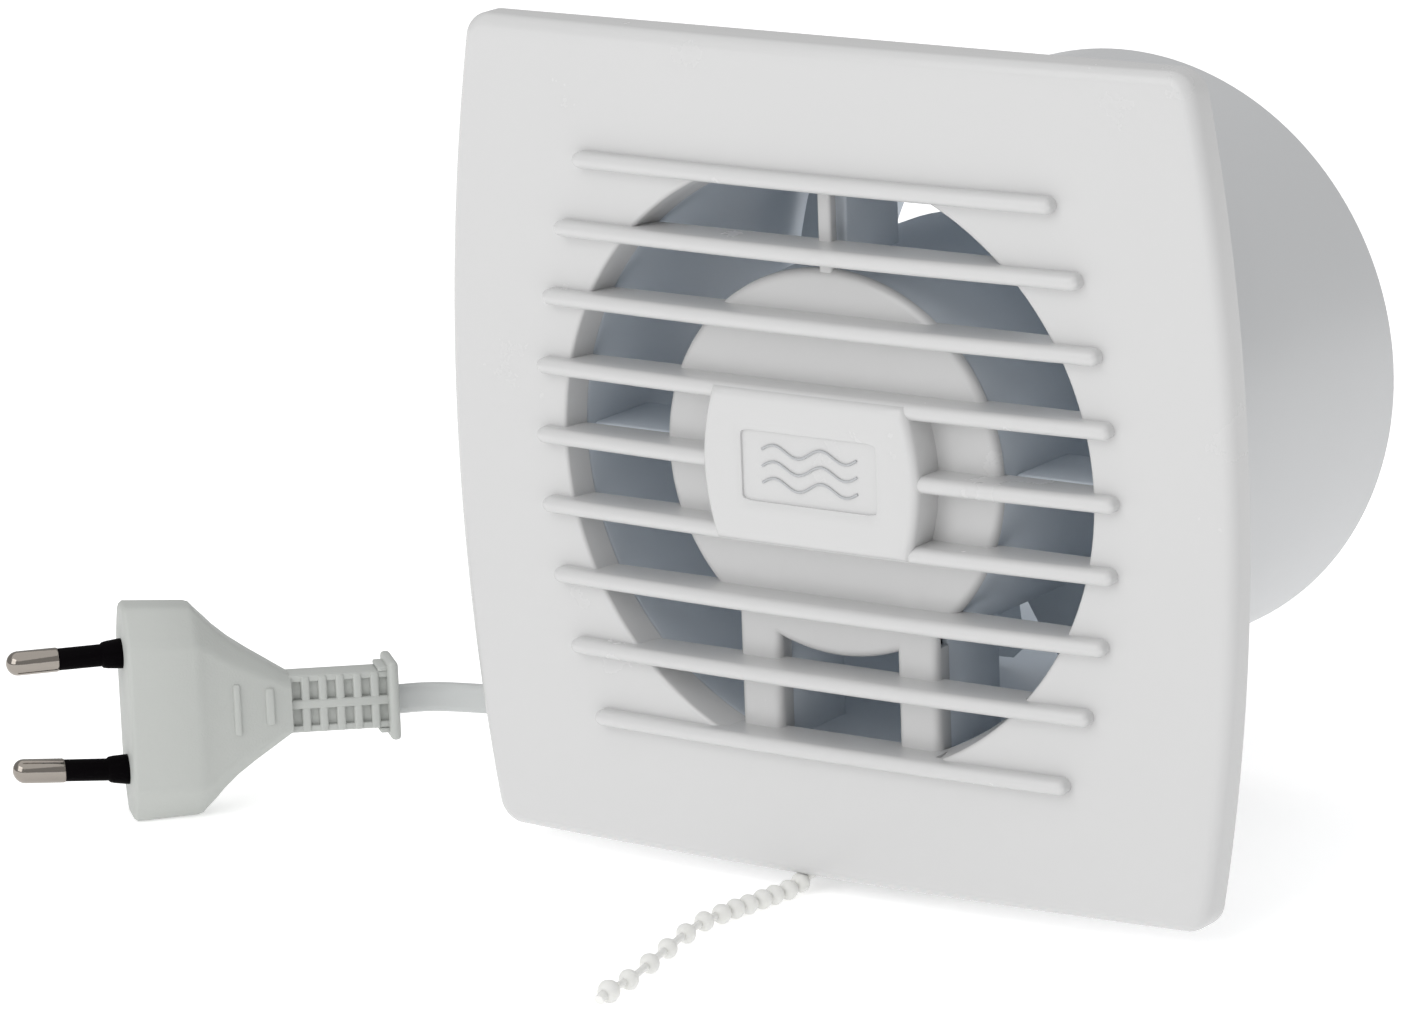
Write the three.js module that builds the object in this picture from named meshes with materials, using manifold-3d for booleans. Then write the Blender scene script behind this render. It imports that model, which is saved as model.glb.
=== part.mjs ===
// Bathroom extractor fan for a 100 mm duct: louvred wall panel, spigot housing, shaded-pole motor,
// axial impeller, pull-cord switch, mains lead with a flat two-pin plug, and a bead pull chain.
// Millimetres. +Y runs along the duct into the wall, +Z is up, +X is to the right of someone facing it.
// The origin is on the duct axis, in the plane of the wall.
import * as THREE from 'three';
import { mergeVertices } from 'three/addons/utils/BufferGeometryUtils.js';
import Module from 'manifold-3d';

const wasm = await Module();
wasm.setup();

// Panel
const PANEL_HALF_H = 65.5;
const PANEL_HALF_W = 71.1;
const SIDE_BOW = 6.3;
const FACE_Y = -8.5;
const FACE_SAG = 3.2;
const PANEL_T = 2;
const SKIRT_Y = -0.3;
const CORNER_R = 4.5;
const EDGE_R = 2;

// Grille
const GRILLE_R = 47.8;
const COLLAR_T = 1.4;
const COLLAR_Y = -2.6;
const SLAT_COUNT = 9;
const SLAT_PITCH = 11.13;
const SLAT_T = 2.6;
const SLAT_WEB_T = 2;
const SLAT_PROUD = 2.4;
const SLAT_HALF_LENGTH = 52.4;
const SLAT_END_ARC_R = 111;
const DISC_R = 30.8;
const DISC_Y = -4.9;
const DISC_RIM_Y = -2.7;
const LEG_X = 14.4;
const LEG_W = 7.4;
const BOSS_HALF_W = 19.5;
const BOSS_BULGE = 1.9;
const BOSS_FRONT_Y = -11.5;
const LABEL_W = 24.4;
const LABEL_H = 11;
const LABEL_X = 0.25;
const LABEL_Z = 0.3;

// Housing
const SPIGOT_R = 49;
const SPIGOT_T = 2;
const SPIGOT_END_Y = 83.6;
const FLANGE_T = 2.2;
const CUP_R = 31.2;
const CUP_T = 2;
const CUP_FRONT_Y = -0.6;
const CUP_BACK_Y = 38;
const STRUT_BACK_Y = 14;
const STRUT_GAP = 0.02;

// Motor and impeller
const SHAFT_R = 1.5;
const ROTOR_R = 8.7;
const CORE_Y = 14;
const CORE_T = 12;
const COIL_Z = -19.25;
const MOTOR_SCREW_X = 13.2;
const BLADE_COUNT = 7;
const BLADE_PHASE_DEG = 34;
const HUB_R = 17;
const BLADE_R = 45.4;
const HUB_FRONT_Y = 39.2;
const IMPELLER_Y = 47;

// Pull switch
const SWITCH_X = -6.5;
const SWITCH_FRONT_Y = -5;
const SWITCH_BACK_Y = -1.1;
const CHAIN_R = 1.5;
const CHAIN_Y = -3.3;

// Leads and plug
const FLOOR_Z = -68.7;
const CORD_R = 2.1;
const GROMMET = new THREE.Vector3(14, 0, -57.5);
const COIL_CENTRE = new THREE.Vector3(-13, 48, FLOOR_Z + 5.2);
const COIL_MEAN_R = 27;
const PLUG_HALF_H = 18;
const PLUG_FRONT = new THREE.Vector3(-126.2, -23.6, FLOOR_Z + PLUG_HALF_H + 0.1);
const PLUG_DIR = new THREE.Vector3(0.682, 0.731, -0.026).normalize();
const PLUG_LENGTH = 45.2;
const PLUG_HALF_T = 6.85;
const PIN_SPACING = 18.6;

const material = (color, roughness, metalness = 0) =>
  new THREE.MeshStandardMaterial({ color, roughness, metalness });

const root = new THREE.Group();
root.name = 'extractor_fan';

function add(name, geometry, color, roughness, metalness) {
  const mesh = new THREE.Mesh(geometry, material(color, roughness, metalness));
  mesh.name = name;
  root.add(mesh);
  return mesh;
}

const WHITE = 0xe9eaeb;
const GREY = 0xb9bdc2;
const STEEL = 0xa9adb2;
const COPPER = 0xb56a3a;
const BRASS = 0xc9a24a;
const BLACK = 0x1a1a1c;

// ---- shape helpers ---------------------------------------------------------------------------

function toManifold(geometry) {
  const clean = geometry.clone();
  clean.deleteAttribute('normal');
  clean.deleteAttribute('uv');
  const merged = mergeVertices(clean, 1e-4);
  return new wasm.Manifold(new wasm.Mesh({
    numProp: 3,
    vertProperties: new Float32Array(merged.attributes.position.array),
    triVerts: new Uint32Array(merged.index.array),
  }));
}

function toGeometry(manifold) {
  const mesh = manifold.getMesh();
  const geometry = new THREE.BufferGeometry();
  geometry.setAttribute('position', new THREE.BufferAttribute(new Float32Array(mesh.vertProperties), 3));
  geometry.setIndex(new THREE.BufferAttribute(new Uint32Array(mesh.triVerts), 1));
  geometry.computeVertexNormals();
  return geometry;
}

function build(base, joined = [], removed = []) {
  let solid = toManifold(base);
  for (const piece of joined) {
    solid = solid.add(toManifold(piece));
  }
  for (const piece of removed) {
    solid = solid.subtract(toManifold(piece));
  }
  return toGeometry(solid);
}

const keepInside = (a, b) => toGeometry(toManifold(a).intersect(toManifold(b)));

function signedVolume(position, index) {
  const a = new THREE.Vector3();
  const b = new THREE.Vector3();
  const c = new THREE.Vector3();
  let volume = 0;
  for (let i = 0; i < index.length; i += 3) {
    a.fromArray(position, index[i] * 3);
    b.fromArray(position, index[i + 1] * 3);
    c.fromArray(position, index[i + 2] * 3);
    volume += a.dot(b.cross(c));
  }
  return volume;
}

// A closed body through rings of the same number of points, with a fan over each end.
function loft(rings) {
  const count = rings[0].length;
  const position = [];
  const index = [];
  for (const ring of rings) {
    for (const p of ring) {
      position.push(p.x, p.y, p.z);
    }
  }
  for (let r = 0; r + 1 < rings.length; r += 1) {
    for (let i = 0; i < count; i += 1) {
      const j = (i + 1) % count;
      const a = r * count + i;
      const b = r * count + j;
      index.push(a, b, b + count);
      index.push(a, b + count, a + count);
    }
  }
  const fan = (ring, offset, flip) => {
    const centre = new THREE.Vector3();
    ring.forEach((p) => centre.add(p));
    centre.divideScalar(count);
    const tip = position.length / 3;
    position.push(centre.x, centre.y, centre.z);
    for (let i = 0; i < count; i += 1) {
      const j = (i + 1) % count;
      index.push(tip, flip ? offset + j : offset + i, flip ? offset + i : offset + j);
    }
  };
  fan(rings[0], 0, true);
  fan(rings[rings.length - 1], (rings.length - 1) * count, false);
  if (signedVolume(position, index) < 0) {
    for (let i = 0; i < index.length; i += 3) {
      [index[i], index[i + 1]] = [index[i + 1], index[i]];
    }
  }
  const geometry = new THREE.BufferGeometry();
  geometry.setAttribute('position', new THREE.Float32BufferAttribute(position, 3));
  geometry.setIndex(index);
  geometry.computeVertexNormals();
  return geometry;
}

function box(x0, x1, y0, y1, z0, z1) {
  const geometry = new THREE.BoxGeometry(x1 - x0, y1 - y0, z1 - z0);
  return geometry.translate((x0 + x1) / 2, (y0 + y1) / 2, (z0 + z1) / 2);
}

function rodY(r, y0, y1, x = 0, z = 0, sides = 16) {
  const geometry = new THREE.CylinderGeometry(r, r, y1 - y0, sides);
  return geometry.translate(x, (y0 + y1) / 2, z);
}

function rodZ(r, z0, z1, x, y, sides = 12) {
  const geometry = new THREE.CylinderGeometry(r, r, z1 - z0, sides);
  geometry.rotateX(Math.PI / 2);
  return geometry.translate(x, y, (z0 + z1) / 2);
}

// A body of revolution about the duct axis, from [radius, y] corners.
function turned(corners, sides) {
  const profile = corners.map(([r, y]) => new THREE.Vector2(r, y));
  const geometry = new THREE.LatheGeometry(profile, sides);
  return withoutSlivers(geometry);
}

// Joins equal points, drops triangles without area and turns the surface outward.
function withoutSlivers(geometry) {
  geometry.deleteAttribute('uv');
  geometry.deleteAttribute('normal');
  const merged = mergeVertices(geometry, 1e-4);
  const index = Array.from(merged.index.array).filter((_, i, all) => {
    const t = Math.floor(i / 3) * 3;
    return all[t] !== all[t + 1] && all[t + 1] !== all[t + 2] && all[t] !== all[t + 2];
  });
  if (signedVolume(Array.from(merged.attributes.position.array), index) < 0) {
    for (let i = 0; i < index.length; i += 3) {
      [index[i], index[i + 1]] = [index[i + 1], index[i]];
    }
  }
  merged.setIndex(index);
  merged.computeVertexNormals();
  return merged;
}

function ringY(outer, inner, y0, y1, x = 0, z = 0, sides = 24) {
  const geometry = turned([[inner, y0], [outer, y0], [outer, y1], [inner, y1], [inner, y0]], sides);
  return geometry.translate(x, 0, z);
}

function tube(points, radius, steps, sides = 8) {
  const shape = new THREE.Shape();
  for (let i = 0; i < sides; i += 1) {
    const angle = (i / sides) * 2 * Math.PI;
    const x = radius * Math.cos(angle);
    const y = radius * Math.sin(angle);
    if (i === 0) {
      shape.moveTo(x, y);
    } else {
      shape.lineTo(x, y);
    }
  }
  shape.closePath();
  const path = new THREE.CatmullRomCurve3(points, false, 'centripetal');
  return new THREE.ExtrudeGeometry(shape, { steps, extrudePath: path, curveSegments: 1 });
}

const V = (x, y, z) => new THREE.Vector3(x, y, z);

// ---- panel -----------------------------------------------------------------------------------

const faceY = (x) => FACE_Y + FACE_SAG * (x / PANEL_HALF_W) ** 2;

// Half of the panel's outline, mirrored to four quarters: bowed sides, straight top and bottom.
function outline(inset) {
  const halfH = PANEL_HALF_H - inset;
  const r = Math.max(CORNER_R - inset, 0.6);
  const sideX = (z) => PANEL_HALF_W - inset - SIDE_BOW * (z / PANEL_HALF_H) ** 2;
  const slope = Math.atan(2 * SIDE_BOW / PANEL_HALF_H);
  const endZ = halfH - r + r * Math.sin(slope);
  const cornerX = sideX(endZ) - r * Math.cos(slope);
  const quarter = [];
  const sideSteps = 3;
  for (let i = 0; i < sideSteps; i += 1) {
    const z = endZ * (i / sideSteps);
    quarter.push([sideX(z), z]);
  }
  const cornerSteps = 3;
  for (let i = 0; i <= cornerSteps; i += 1) {
    const angle = slope + (Math.PI / 2 - slope) * (i / cornerSteps);
    quarter.push([cornerX + r * Math.cos(angle), halfH - r + r * Math.sin(angle)]);
  }
  const topSteps = 3;
  for (let i = 1; i <= topSteps; i += 1) {
    quarter.push([cornerX * (1 - i / topSteps), halfH]);
  }
  const back = quarter.slice(1, -1).reverse();
  const upper = quarter.concat(back.map(([x, z]) => [-x, z]));
  const left = [[-quarter[0][0], 0]];
  const lower = quarter.slice(1).map(([x, z]) => [-x, -z]);
  const lowerRight = back.map(([x, z]) => [x, -z]);
  return upper.concat(left, lower, lowerRight);
}

// The panel's block: a shallow cylinder face with rounded edges, running back to the skirt's rear edge.
function panelBlock(inset, faceOffset, edgeR, backY, edgeSteps, scales) {
  const ring = (d, lift) => outline(inset + d).map(([x, z]) => V(x, faceY(x) + faceOffset + lift, z));
  const rings = [outline(inset).map(([x, z]) => V(x, backY, z)), ring(0, edgeR)];
  for (let i = 1; i <= edgeSteps; i += 1) {
    const angle = (Math.PI / 2) * (i / edgeSteps);
    rings.push(ring(edgeR * (1 - Math.cos(angle)), edgeR * (1 - Math.sin(angle))));
  }
  for (const scale of scales) {
    const shrunk = outline(inset + edgeR).map(([x, z]) => [x * scale, z * scale]);
    rings.push(shrunk.map(([x, z]) => V(x, faceY(x) + faceOffset, z)));
  }
  return loft(rings);
}

const slatHalfLength = (z) =>
  SLAT_HALF_LENGTH - (SLAT_END_ARC_R - Math.sqrt(SLAT_END_ARC_R ** 2 - z ** 2));

// The rounded front edge of a slat, following the face's curve, with rounded ends.
function slatNose(z, halfLength) {
  const half = SLAT_T / 2;
  const stations = [[-halfLength, 0.35]];
  const steps = 4;
  for (let i = 0; i < steps; i += 1) {
    stations.push([(halfLength - half) * (2 * i / (steps - 1) - 1), 1]);
  }
  stations.push([halfLength, 0.35]);
  const rings = stations.map(([x, fill]) => {
    const front = faceY(x) - SLAT_PROUD * fill;
    const ring = [V(x, faceY(x) + 1, z + half * fill), V(x, faceY(x) + 1, z - half * fill)];
    for (const angle of [-90, -30, 30, 90]) {
      const a = THREE.MathUtils.degToRad(angle);
      ring.push(V(x, front + half * fill * (1 - Math.cos(a)), z + half * fill * Math.sin(a)));
    }
    return ring;
  });
  return loft(rings);
}

function slatWeb(z) {
  const half = SLAT_WEB_T / 2;
  const bar = box(-50, 50, FACE_Y - 1, COLLAR_Y, z - half, z + half);
  return keepInside(bar, rodY(GRILLE_R + COLLAR_T / 2, FACE_Y - 2, 0, 0, 0, 36));
}

function hubBoss() {
  const halfZ = SLAT_PITCH;
  const shape = [];
  const steps = 4;
  for (let i = 0; i <= steps; i += 1) {
    const z = halfZ * (2 * i / steps - 1);
    shape.push([BOSS_HALF_W - BOSS_BULGE * (z / halfZ) ** 2, z]);
  }
  const loop = shape.concat(shape.map(([x, z]) => [-x, -z]));
  const ring = (y, inset) => {
    const scaleX = 1 - inset / BOSS_HALF_W;
    const scaleZ = 1 - inset / halfZ;
    return loop.map(([x, z]) => V(x * scaleX, y, z * scaleZ));
  };
  return loft([
    ring(DISC_Y + 1, 0),
    ring(BOSS_FRONT_Y + 1, 0),
    ring(BOSS_FRONT_Y + 0.3, 0.3),
    ring(BOSS_FRONT_Y, 0.9),
  ]);
}

// Three shallow air waves engraved in the hub's recess.
function airWaves() {
  const front = BOSS_FRONT_Y;
  const waves = [];
  for (const z of [-2.6, 0, 2.6]) {
    const rings = [];
    const steps = 8;
    for (let i = 0; i <= steps; i += 1) {
      const x = LABEL_X + 8 * (2 * i / steps - 1);
      const crest = LABEL_Z + z + 0.9 * Math.sin((i / steps) * 4 * Math.PI);
      rings.push([V(x, front + 0.4, crest - 0.3), V(x, front + 0.4, crest + 0.3),
        V(x, front + 0.85, crest + 0.3), V(x, front + 0.85, crest - 0.3)]);
    }
    waves.push(loft(rings));
  }
  return waves;
}

function frontCover() {
  const shell = build(
    panelBlock(0, 0, EDGE_R, SKIRT_Y, 2, [0.5]),
    [],
    [panelBlock(PANEL_T, PANEL_T, 0.6, SKIRT_Y + 1, 1, [0.5])],
  );
  const joined = [];
  const collar = [[GRILLE_R - 1, FACE_Y + 1], [GRILLE_R + COLLAR_T, FACE_Y + 1],
    [GRILLE_R + COLLAR_T, COLLAR_Y], [GRILLE_R - 1, COLLAR_Y], [GRILLE_R - 1, FACE_Y + 1]];
  joined.push(turned(collar, 36));
  const endSlatZ = SLAT_PITCH * (SLAT_COUNT - 1) / 2;
  const betweenEndSlats = box(-60, 60, -20, 5, -endSlatZ, endSlatZ);
  const opening = keepInside(rodY(GRILLE_R, FACE_Y - 4, 2, 0, 0, 36), betweenEndSlats);
  const opened = build(shell, joined, [opening]);

  const grille = [];
  const middle = (SLAT_COUNT - 1) / 2;
  for (let i = 0; i < SLAT_COUNT; i += 1) {
    const z = (middle - i) * SLAT_PITCH;
    grille.push(slatNose(z, slatHalfLength(z)));
    grille.push(slatWeb(z));
  }
  const disc = [[0, DISC_Y], [DISC_R - 1.4, DISC_Y], [DISC_R, DISC_Y + 1.2], [DISC_R, DISC_RIM_Y],
    [DISC_R - 1.4, DISC_RIM_Y], [DISC_R - 1.4, DISC_Y + 1.7], [0, DISC_Y + 1.7]];
  grille.push(turned(disc, 32));
  for (const side of [-1, 1]) {
    const x = side * LEG_X;
    grille.push(box(x - LEG_W / 2, x + LEG_W / 2, DISC_Y, COLLAR_Y, -46.2, -26));
  }
  grille.push(box(-1.2, 1.2, DISC_Y, COLLAR_Y, 30, 48.4));
  grille.push(hubBoss());

  const recessY = BOSS_FRONT_Y + 0.5;
  const recess = box(-LABEL_W / 2, LABEL_W / 2, BOSS_FRONT_Y - 1, recessY, -LABEL_H / 2, LABEL_H / 2);
  recess.translate(LABEL_X, 0, LABEL_Z);
  const chainSlot = box(SWITCH_X - 2.4, SWITCH_X + 2.4, -7.6, 1, -68, -61);
  const cordNotch = box(GROMMET.x - 5, GROMMET.x + 5, -2.5, 1, -68, -61);
  return build(opened, grille, [recess, ...airWaves(), chainSlot, cordNotch]);
}

// ---- housing ---------------------------------------------------------------------------------

const ductBore = (gap) => rodY(SPIGOT_R - SPIGOT_T - gap, -6, 100, 0, 0, 40);

// The flange and the spigot.
function housing() {
  const rim = outline(PANEL_T + 0.4);
  const flange = loft([rim.map(([x, z]) => V(x, -FLANGE_T, z)), rim.map(([x, z]) => V(x, 0, z))]);
  const inner = SPIGOT_R - SPIGOT_T;
  const spigot = [[inner, -FLANGE_T], [SPIGOT_R, -FLANGE_T], [SPIGOT_R, SPIGOT_END_Y],
    [inner, SPIGOT_END_Y], [inner, -FLANGE_T]];
  const removed = [ductBore(0)];
  for (const side of [-1, 1]) {
    for (const end of [-1, 1]) {
      removed.push(rodY(2.2, -5, 2, side * 52, end * 52, 8));
    }
    removed.push(box(side * LEG_X - 1.6, side * LEG_X + 1.6, -3, -0.5, -58, -42));
  }
  removed.push(box(-13, 7, -3, -0.8, -64, -49.9));
  removed.push(rodY(4.6, -5, 2, GROMMET.x, GROMMET.z, 12));
  return build(flange, [turned(spigot, 40)], removed);
}

// The cup holds the motor by two screw bosses and the terminal block by two ribs.
function motorCup() {
  const cup = [[CUP_R - CUP_T, CUP_FRONT_Y], [CUP_R, CUP_FRONT_Y], [CUP_R, CUP_BACK_Y], [6, CUP_BACK_Y],
    [6, CUP_BACK_Y - CUP_T], [CUP_R - CUP_T, CUP_BACK_Y - CUP_T], [CUP_R - CUP_T, CUP_FRONT_Y]];
  const joined = [];
  const removed = [];
  for (const side of [-1, 1]) {
    joined.push(rodY(3.2, 25.4, CUP_BACK_Y - 1, side * MOTOR_SCREW_X, 0, 8));
    joined.push(box(side * 6.2 - 1, side * 6.2 + 1, 12.42, CUP_BACK_Y - 1, 15.5, 24));
    removed.push(rodY(1.9, 20, 31.8, side * MOTOR_SCREW_X, 0, 8));
  }
  return build(turned(cup, 30), joined, removed);
}

// Struts reach from the cup to the spigot, and the two lower ones are channels for wires.
function strut(block, removed = []) {
  const cup = rodY(CUP_R + STRUT_GAP, -6, CUP_BACK_Y, 0, 0, 30);
  return keepInside(build(block, [], [cup, ...removed]), ductBore(STRUT_GAP));
}

function channelStrut(x) {
  const half = 3.2;
  const block = box(x - half, x + half, CUP_FRONT_Y, STRUT_BACK_Y, -47, -26);
  const channel = box(x - half + 1.2, x + half - 1.2, CUP_FRONT_Y - 1, STRUT_BACK_Y - 2, -60, -10);
  return strut(block, [channel]);
}

function addHousing() {
  add('housing', housing(), GREY, 0.4);
  add('motor_cup', motorCup(), GREY, 0.4);
  add('cup_strut_left', channelStrut(-LEG_X), GREY, 0.4);
  add('cup_strut_right', channelStrut(LEG_X), GREY, 0.4);
  const top = box(-1.5, 1.5, CUP_FRONT_Y, STRUT_BACK_Y, 29, 48);
  add('cup_strut_top', strut(top), GREY, 0.4);
  const left = box(-48, -29, CUP_FRONT_Y, STRUT_BACK_Y, -1.6, 1.6);
  add('cup_strut_side_left', strut(left), GREY, 0.4);
  const right = box(29, 48, CUP_FRONT_Y, STRUT_BACK_Y, -1.6, 1.6);
  add('cup_strut_side_right', strut(right), GREY, 0.4);
}

// ---- motor -----------------------------------------------------------------------------------

function statorCore() {
  const y0 = CORE_Y - CORE_T / 2;
  const y1 = CORE_Y + CORE_T / 2;
  const removed = [rodY(9.3, 0, 30, 0, 0, 20), box(-11, 11, 0, 30, -16.5, -12)];
  for (const side of [-1, 1]) {
    removed.push(rodY(1.9, 0, 30, side * MOTOR_SCREW_X, 0, 8));
  }
  return build(box(-17, 17, y0, y1, -22, 13), [], removed);
}

function coilBobbin() {
  const halfX = 10.2;
  const ring = (x0, x1, halfY, halfZ) =>
    box(x0, x1, CORE_Y - halfY, CORE_Y + halfY, COIL_Z - halfZ, COIL_Z + halfZ);
  const barrel = ring(-halfX, halfX, 7.1, 3.85);
  const left = ring(-halfX, -halfX + 1, 10, 5.9);
  const right = ring(halfX - 1, halfX, 10, 5.9);
  return build(barrel, [left, right], [ring(-12, 12, 6.3, 3.05)]);
}

function coilWinding() {
  const turnAt = (x, grow) => [
    V(x, CORE_Y - 9.4 - grow, COIL_Z - 4.4), V(x, CORE_Y - 8.2, COIL_Z - 5.5 - grow),
    V(x, CORE_Y + 8.2, COIL_Z - 5.5 - grow), V(x, CORE_Y + 9.4 + grow, COIL_Z - 4.4),
    V(x, CORE_Y + 9.4 + grow, COIL_Z + 4.4), V(x, CORE_Y + 8.2, COIL_Z + 5.5 + grow),
    V(x, CORE_Y - 8.2, COIL_Z + 5.5 + grow), V(x, CORE_Y - 9.4 - grow, COIL_Z + 4.4)];
  const outer = loft([turnAt(-8.9, -0.3), turnAt(-7, 0), turnAt(7, 0), turnAt(8.9, -0.3)]);
  return build(outer, [], [box(-12, 12, CORE_Y - 7.4, CORE_Y + 7.4, COIL_Z - 4.15, COIL_Z + 4.15)]);
}

function bracket(plateY0, plateY1, coreSideY) {
  const bossY0 = Math.min(plateY0, coreSideY) - (coreSideY > plateY0 ? 0.8 : -1.7);
  const joined = [rodY(5, bossY0, bossY0 + 3.8, 0, 0, 12)];
  const removed = [rodY(3.7, 0, 30, 0, 0, 12)];
  for (const side of [-1, 1]) {
    const y0 = Math.min(plateY0, coreSideY);
    const y1 = Math.max(plateY1, coreSideY);
    joined.push(rodY(3.2, y0, y1, side * MOTOR_SCREW_X, 0, 8));
    removed.push(rodY(1.9, 0, 30, side * MOTOR_SCREW_X, 0, 8));
  }
  return build(box(-16.6, 16.6, plateY0, plateY1, -4.5, 4.5), joined, removed);
}

function motorScrew(x) {
  const head = rodY(2.9, 1, 2.7, x, 0, 10);
  return build(head, [rodY(1.5, 2, 31.4, x, 0, 8)], [box(x - 3, x + 3, 0, 1.7, -0.4, 0.4)]);
}

function addMotor() {
  add('stator_core', statorCore(), STEEL, 0.5, 0.8);
  add('coil_bobbin', coilBobbin(), 0xd8d2c0, 0.6);
  add('coil_winding', coilWinding(), COPPER, 0.45, 0.6);
  add('rotor', ringY(ROTOR_R, SHAFT_R + 0.25, 7.2, 20.8, 0, 0, 20), 0x8d9196, 0.45, 0.8);
  add('motor_shaft', rodY(SHAFT_R, 2, 59.4, 0, 0, 12), 0xc8ccd0, 0.25, 1);
  add('front_bracket', bracket(3, 4.5, 7.7), STEEL, 0.4, 0.9);
  add('rear_bracket', bracket(23.5, 25, 20.3), STEEL, 0.4, 0.9);
  add('front_bearing', ringY(3.4, 1.75, 2.4, 5.8, 0, 0, 12), BRASS, 0.4, 0.9);
  add('rear_bearing', ringY(3.4, 1.75, 22.4, 25.4, 0, 0, 12), BRASS, 0.4, 0.9);
  add('motor_screw_left', motorScrew(-MOTOR_SCREW_X), STEEL, 0.3, 1);
  add('motor_screw_right', motorScrew(MOTOR_SCREW_X), STEEL, 0.3, 1);
}

// ---- impeller --------------------------------------------------------------------------------

function impellerBlade(turn) {
  const stations = 4;
  const rings = [];
  for (let s = 0; s < stations; s += 1) {
    const t = s / (stations - 1);
    const radius = HUB_R - 0.8 + (BLADE_R - HUB_R + 0.8) * t;
    const pitch = THREE.MathUtils.degToRad(48 - 20 * t);
    const chord = 17.3 + 10.3 * t;
    const sweep = 0.22 * t;
    const half = 0.9 - 0.35 * t;
    const ring = [];
    for (const [along, side] of [[-0.5, 0], [-0.2, 1], [0.2, 1], [0.5, 0], [0.2, -1], [-0.2, -1]]) {
      const camber = 1.4 * (1 - (2 * along) ** 2);
      const u = along * chord * Math.cos(pitch) - (camber + side * half) * Math.sin(pitch);
      const y = along * chord * Math.sin(pitch) + (camber + side * half) * Math.cos(pitch);
      const angle = turn + sweep + u / radius;
      ring.push(V(radius * Math.cos(angle), IMPELLER_Y + y, radius * Math.sin(angle)));
    }
    rings.push(ring);
  }
  return loft(rings);
}

function addImpeller() {
  const bore = SHAFT_R + 0.3;
  const hub = [[bore, 40], [4, 40], [4, 55.4], [HUB_R - 1.6, 55.4], [HUB_R - 1.6, HUB_FRONT_Y],
    [HUB_R, HUB_FRONT_Y], [HUB_R, 56], [HUB_R - 1.2, 57.2], [bore, 57.2], [bore, 40]];
  const blades = [];
  for (let i = 0; i < BLADE_COUNT; i += 1) {
    const turn = THREE.MathUtils.degToRad(BLADE_PHASE_DEG + (i / BLADE_COUNT) * 360);
    blades.push(impellerBlade(turn));
  }
  const core = rodY(HUB_R - 1.6, 36, 55.4, 0, 0, 21);
  const trimmedCore = build(core, [], [rodY(4, 30, 60, 0, 0, 21)]);
  add('impeller', build(turned(hub, 21), blades, [trimmedCore]), WHITE, 0.35);
  add('impeller_clip', ringY(3.4, SHAFT_R + 0.25, 57.6, 58.4, 0, 0, 12), STEEL, 0.3, 1);
}

// ---- terminal block --------------------------------------------------------------------------

function addTerminalBlock() {
  const poles = [-4, 4];
  const z0 = 15.2;
  const z1 = 24;
  const middle = (z0 + z1) / 2;
  const removed = [];
  for (const x of poles) {
    removed.push(rodZ(2.1, z0 - 1, z1 + 1, x, 9, 8));
    for (const side of [-1, 1]) {
      removed.push(rodY(1.5, 2, 9, x, middle + side * 2.4, 8));
    }
  }
  add('terminal_block', build(box(-8.4, 8.4, 4.5, 12.4, z0, z1), [], removed), 0xe4e2da, 0.6);
  poles.forEach((x, i) => {
    const side = i === 0 ? 'left' : 'right';
    const holes = [rodZ(1, z0, z1, x, 9, 8)];
    for (const end of [-1, 1]) {
      holes.push(rodY(1.2, 6, 9, x, middle + end * 2.4, 8));
    }
    const insert = build(rodZ(1.7, z0 + 0.4, z1 - 0.4, x, 9, 8), [], holes);
    add(`terminal_insert_${side}`, insert, BRASS, 0.35, 1);
    for (const end of [-1, 1]) {
      const z = middle + end * 2.4;
      const slot = box(x - 2, x + 2, 4, 5.5, z - 0.2, z + 0.2);
      const screw = build(rodY(1.2, 5, 6.6, x, z, 8), [rodY(0.85, 6, 8.9, x, z, 6)], [slot]);
      add(`terminal_screw_${side}_${end < 0 ? 'lower' : 'upper'}`, screw, STEEL, 0.3, 1);
    }
  });
}

// ---- pull switch -----------------------------------------------------------------------------

const CASE_X0 = -12.5;
const CASE_X1 = 6.5;
const CASE_Z0 = -62.4;
const CASE_Z1 = -50.4;
const PLUNGER_TOP_Z = -51.8;
const SPRING_Z0 = -60.9;
const SPRING_Z1 = -53.5;

function switchCase() {
  const removed = [
    box(CASE_X0 + 3.9, CASE_X1 - 0.8, -6, SWITCH_BACK_Y - 0.8, CASE_Z0 + 1, CASE_Z1 - 0.8),
    rodZ(1.8, CASE_Z0 - 1, CASE_Z0 + 2, SWITCH_X, CHAIN_Y, 12),
  ];
  for (const z of [CASE_Z0 + 2, CASE_Z1 - 2]) {
    removed.push(rodY(0.9, -6, -1.5, CASE_X0 + 2, z, 8));
  }
  removed.push(box(CASE_X1 - 2, CASE_X1 + 1, -6, -2.2, -55, -53.4));
  return build(box(CASE_X0, CASE_X1, SWITCH_FRONT_Y, SWITCH_BACK_Y, CASE_Z0, CASE_Z1), [], removed);
}

function switchLid() {
  const holes = [CASE_Z0 + 2, CASE_Z1 - 2].map((z) => rodY(0.9, -8, 0, CASE_X0 + 2, z, 8));
  const plate = box(CASE_X0, CASE_X1, SWITCH_FRONT_Y - 0.8, SWITCH_FRONT_Y - 0.2, CASE_Z0, CASE_Z1);
  return build(plate, [], holes);
}

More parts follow.
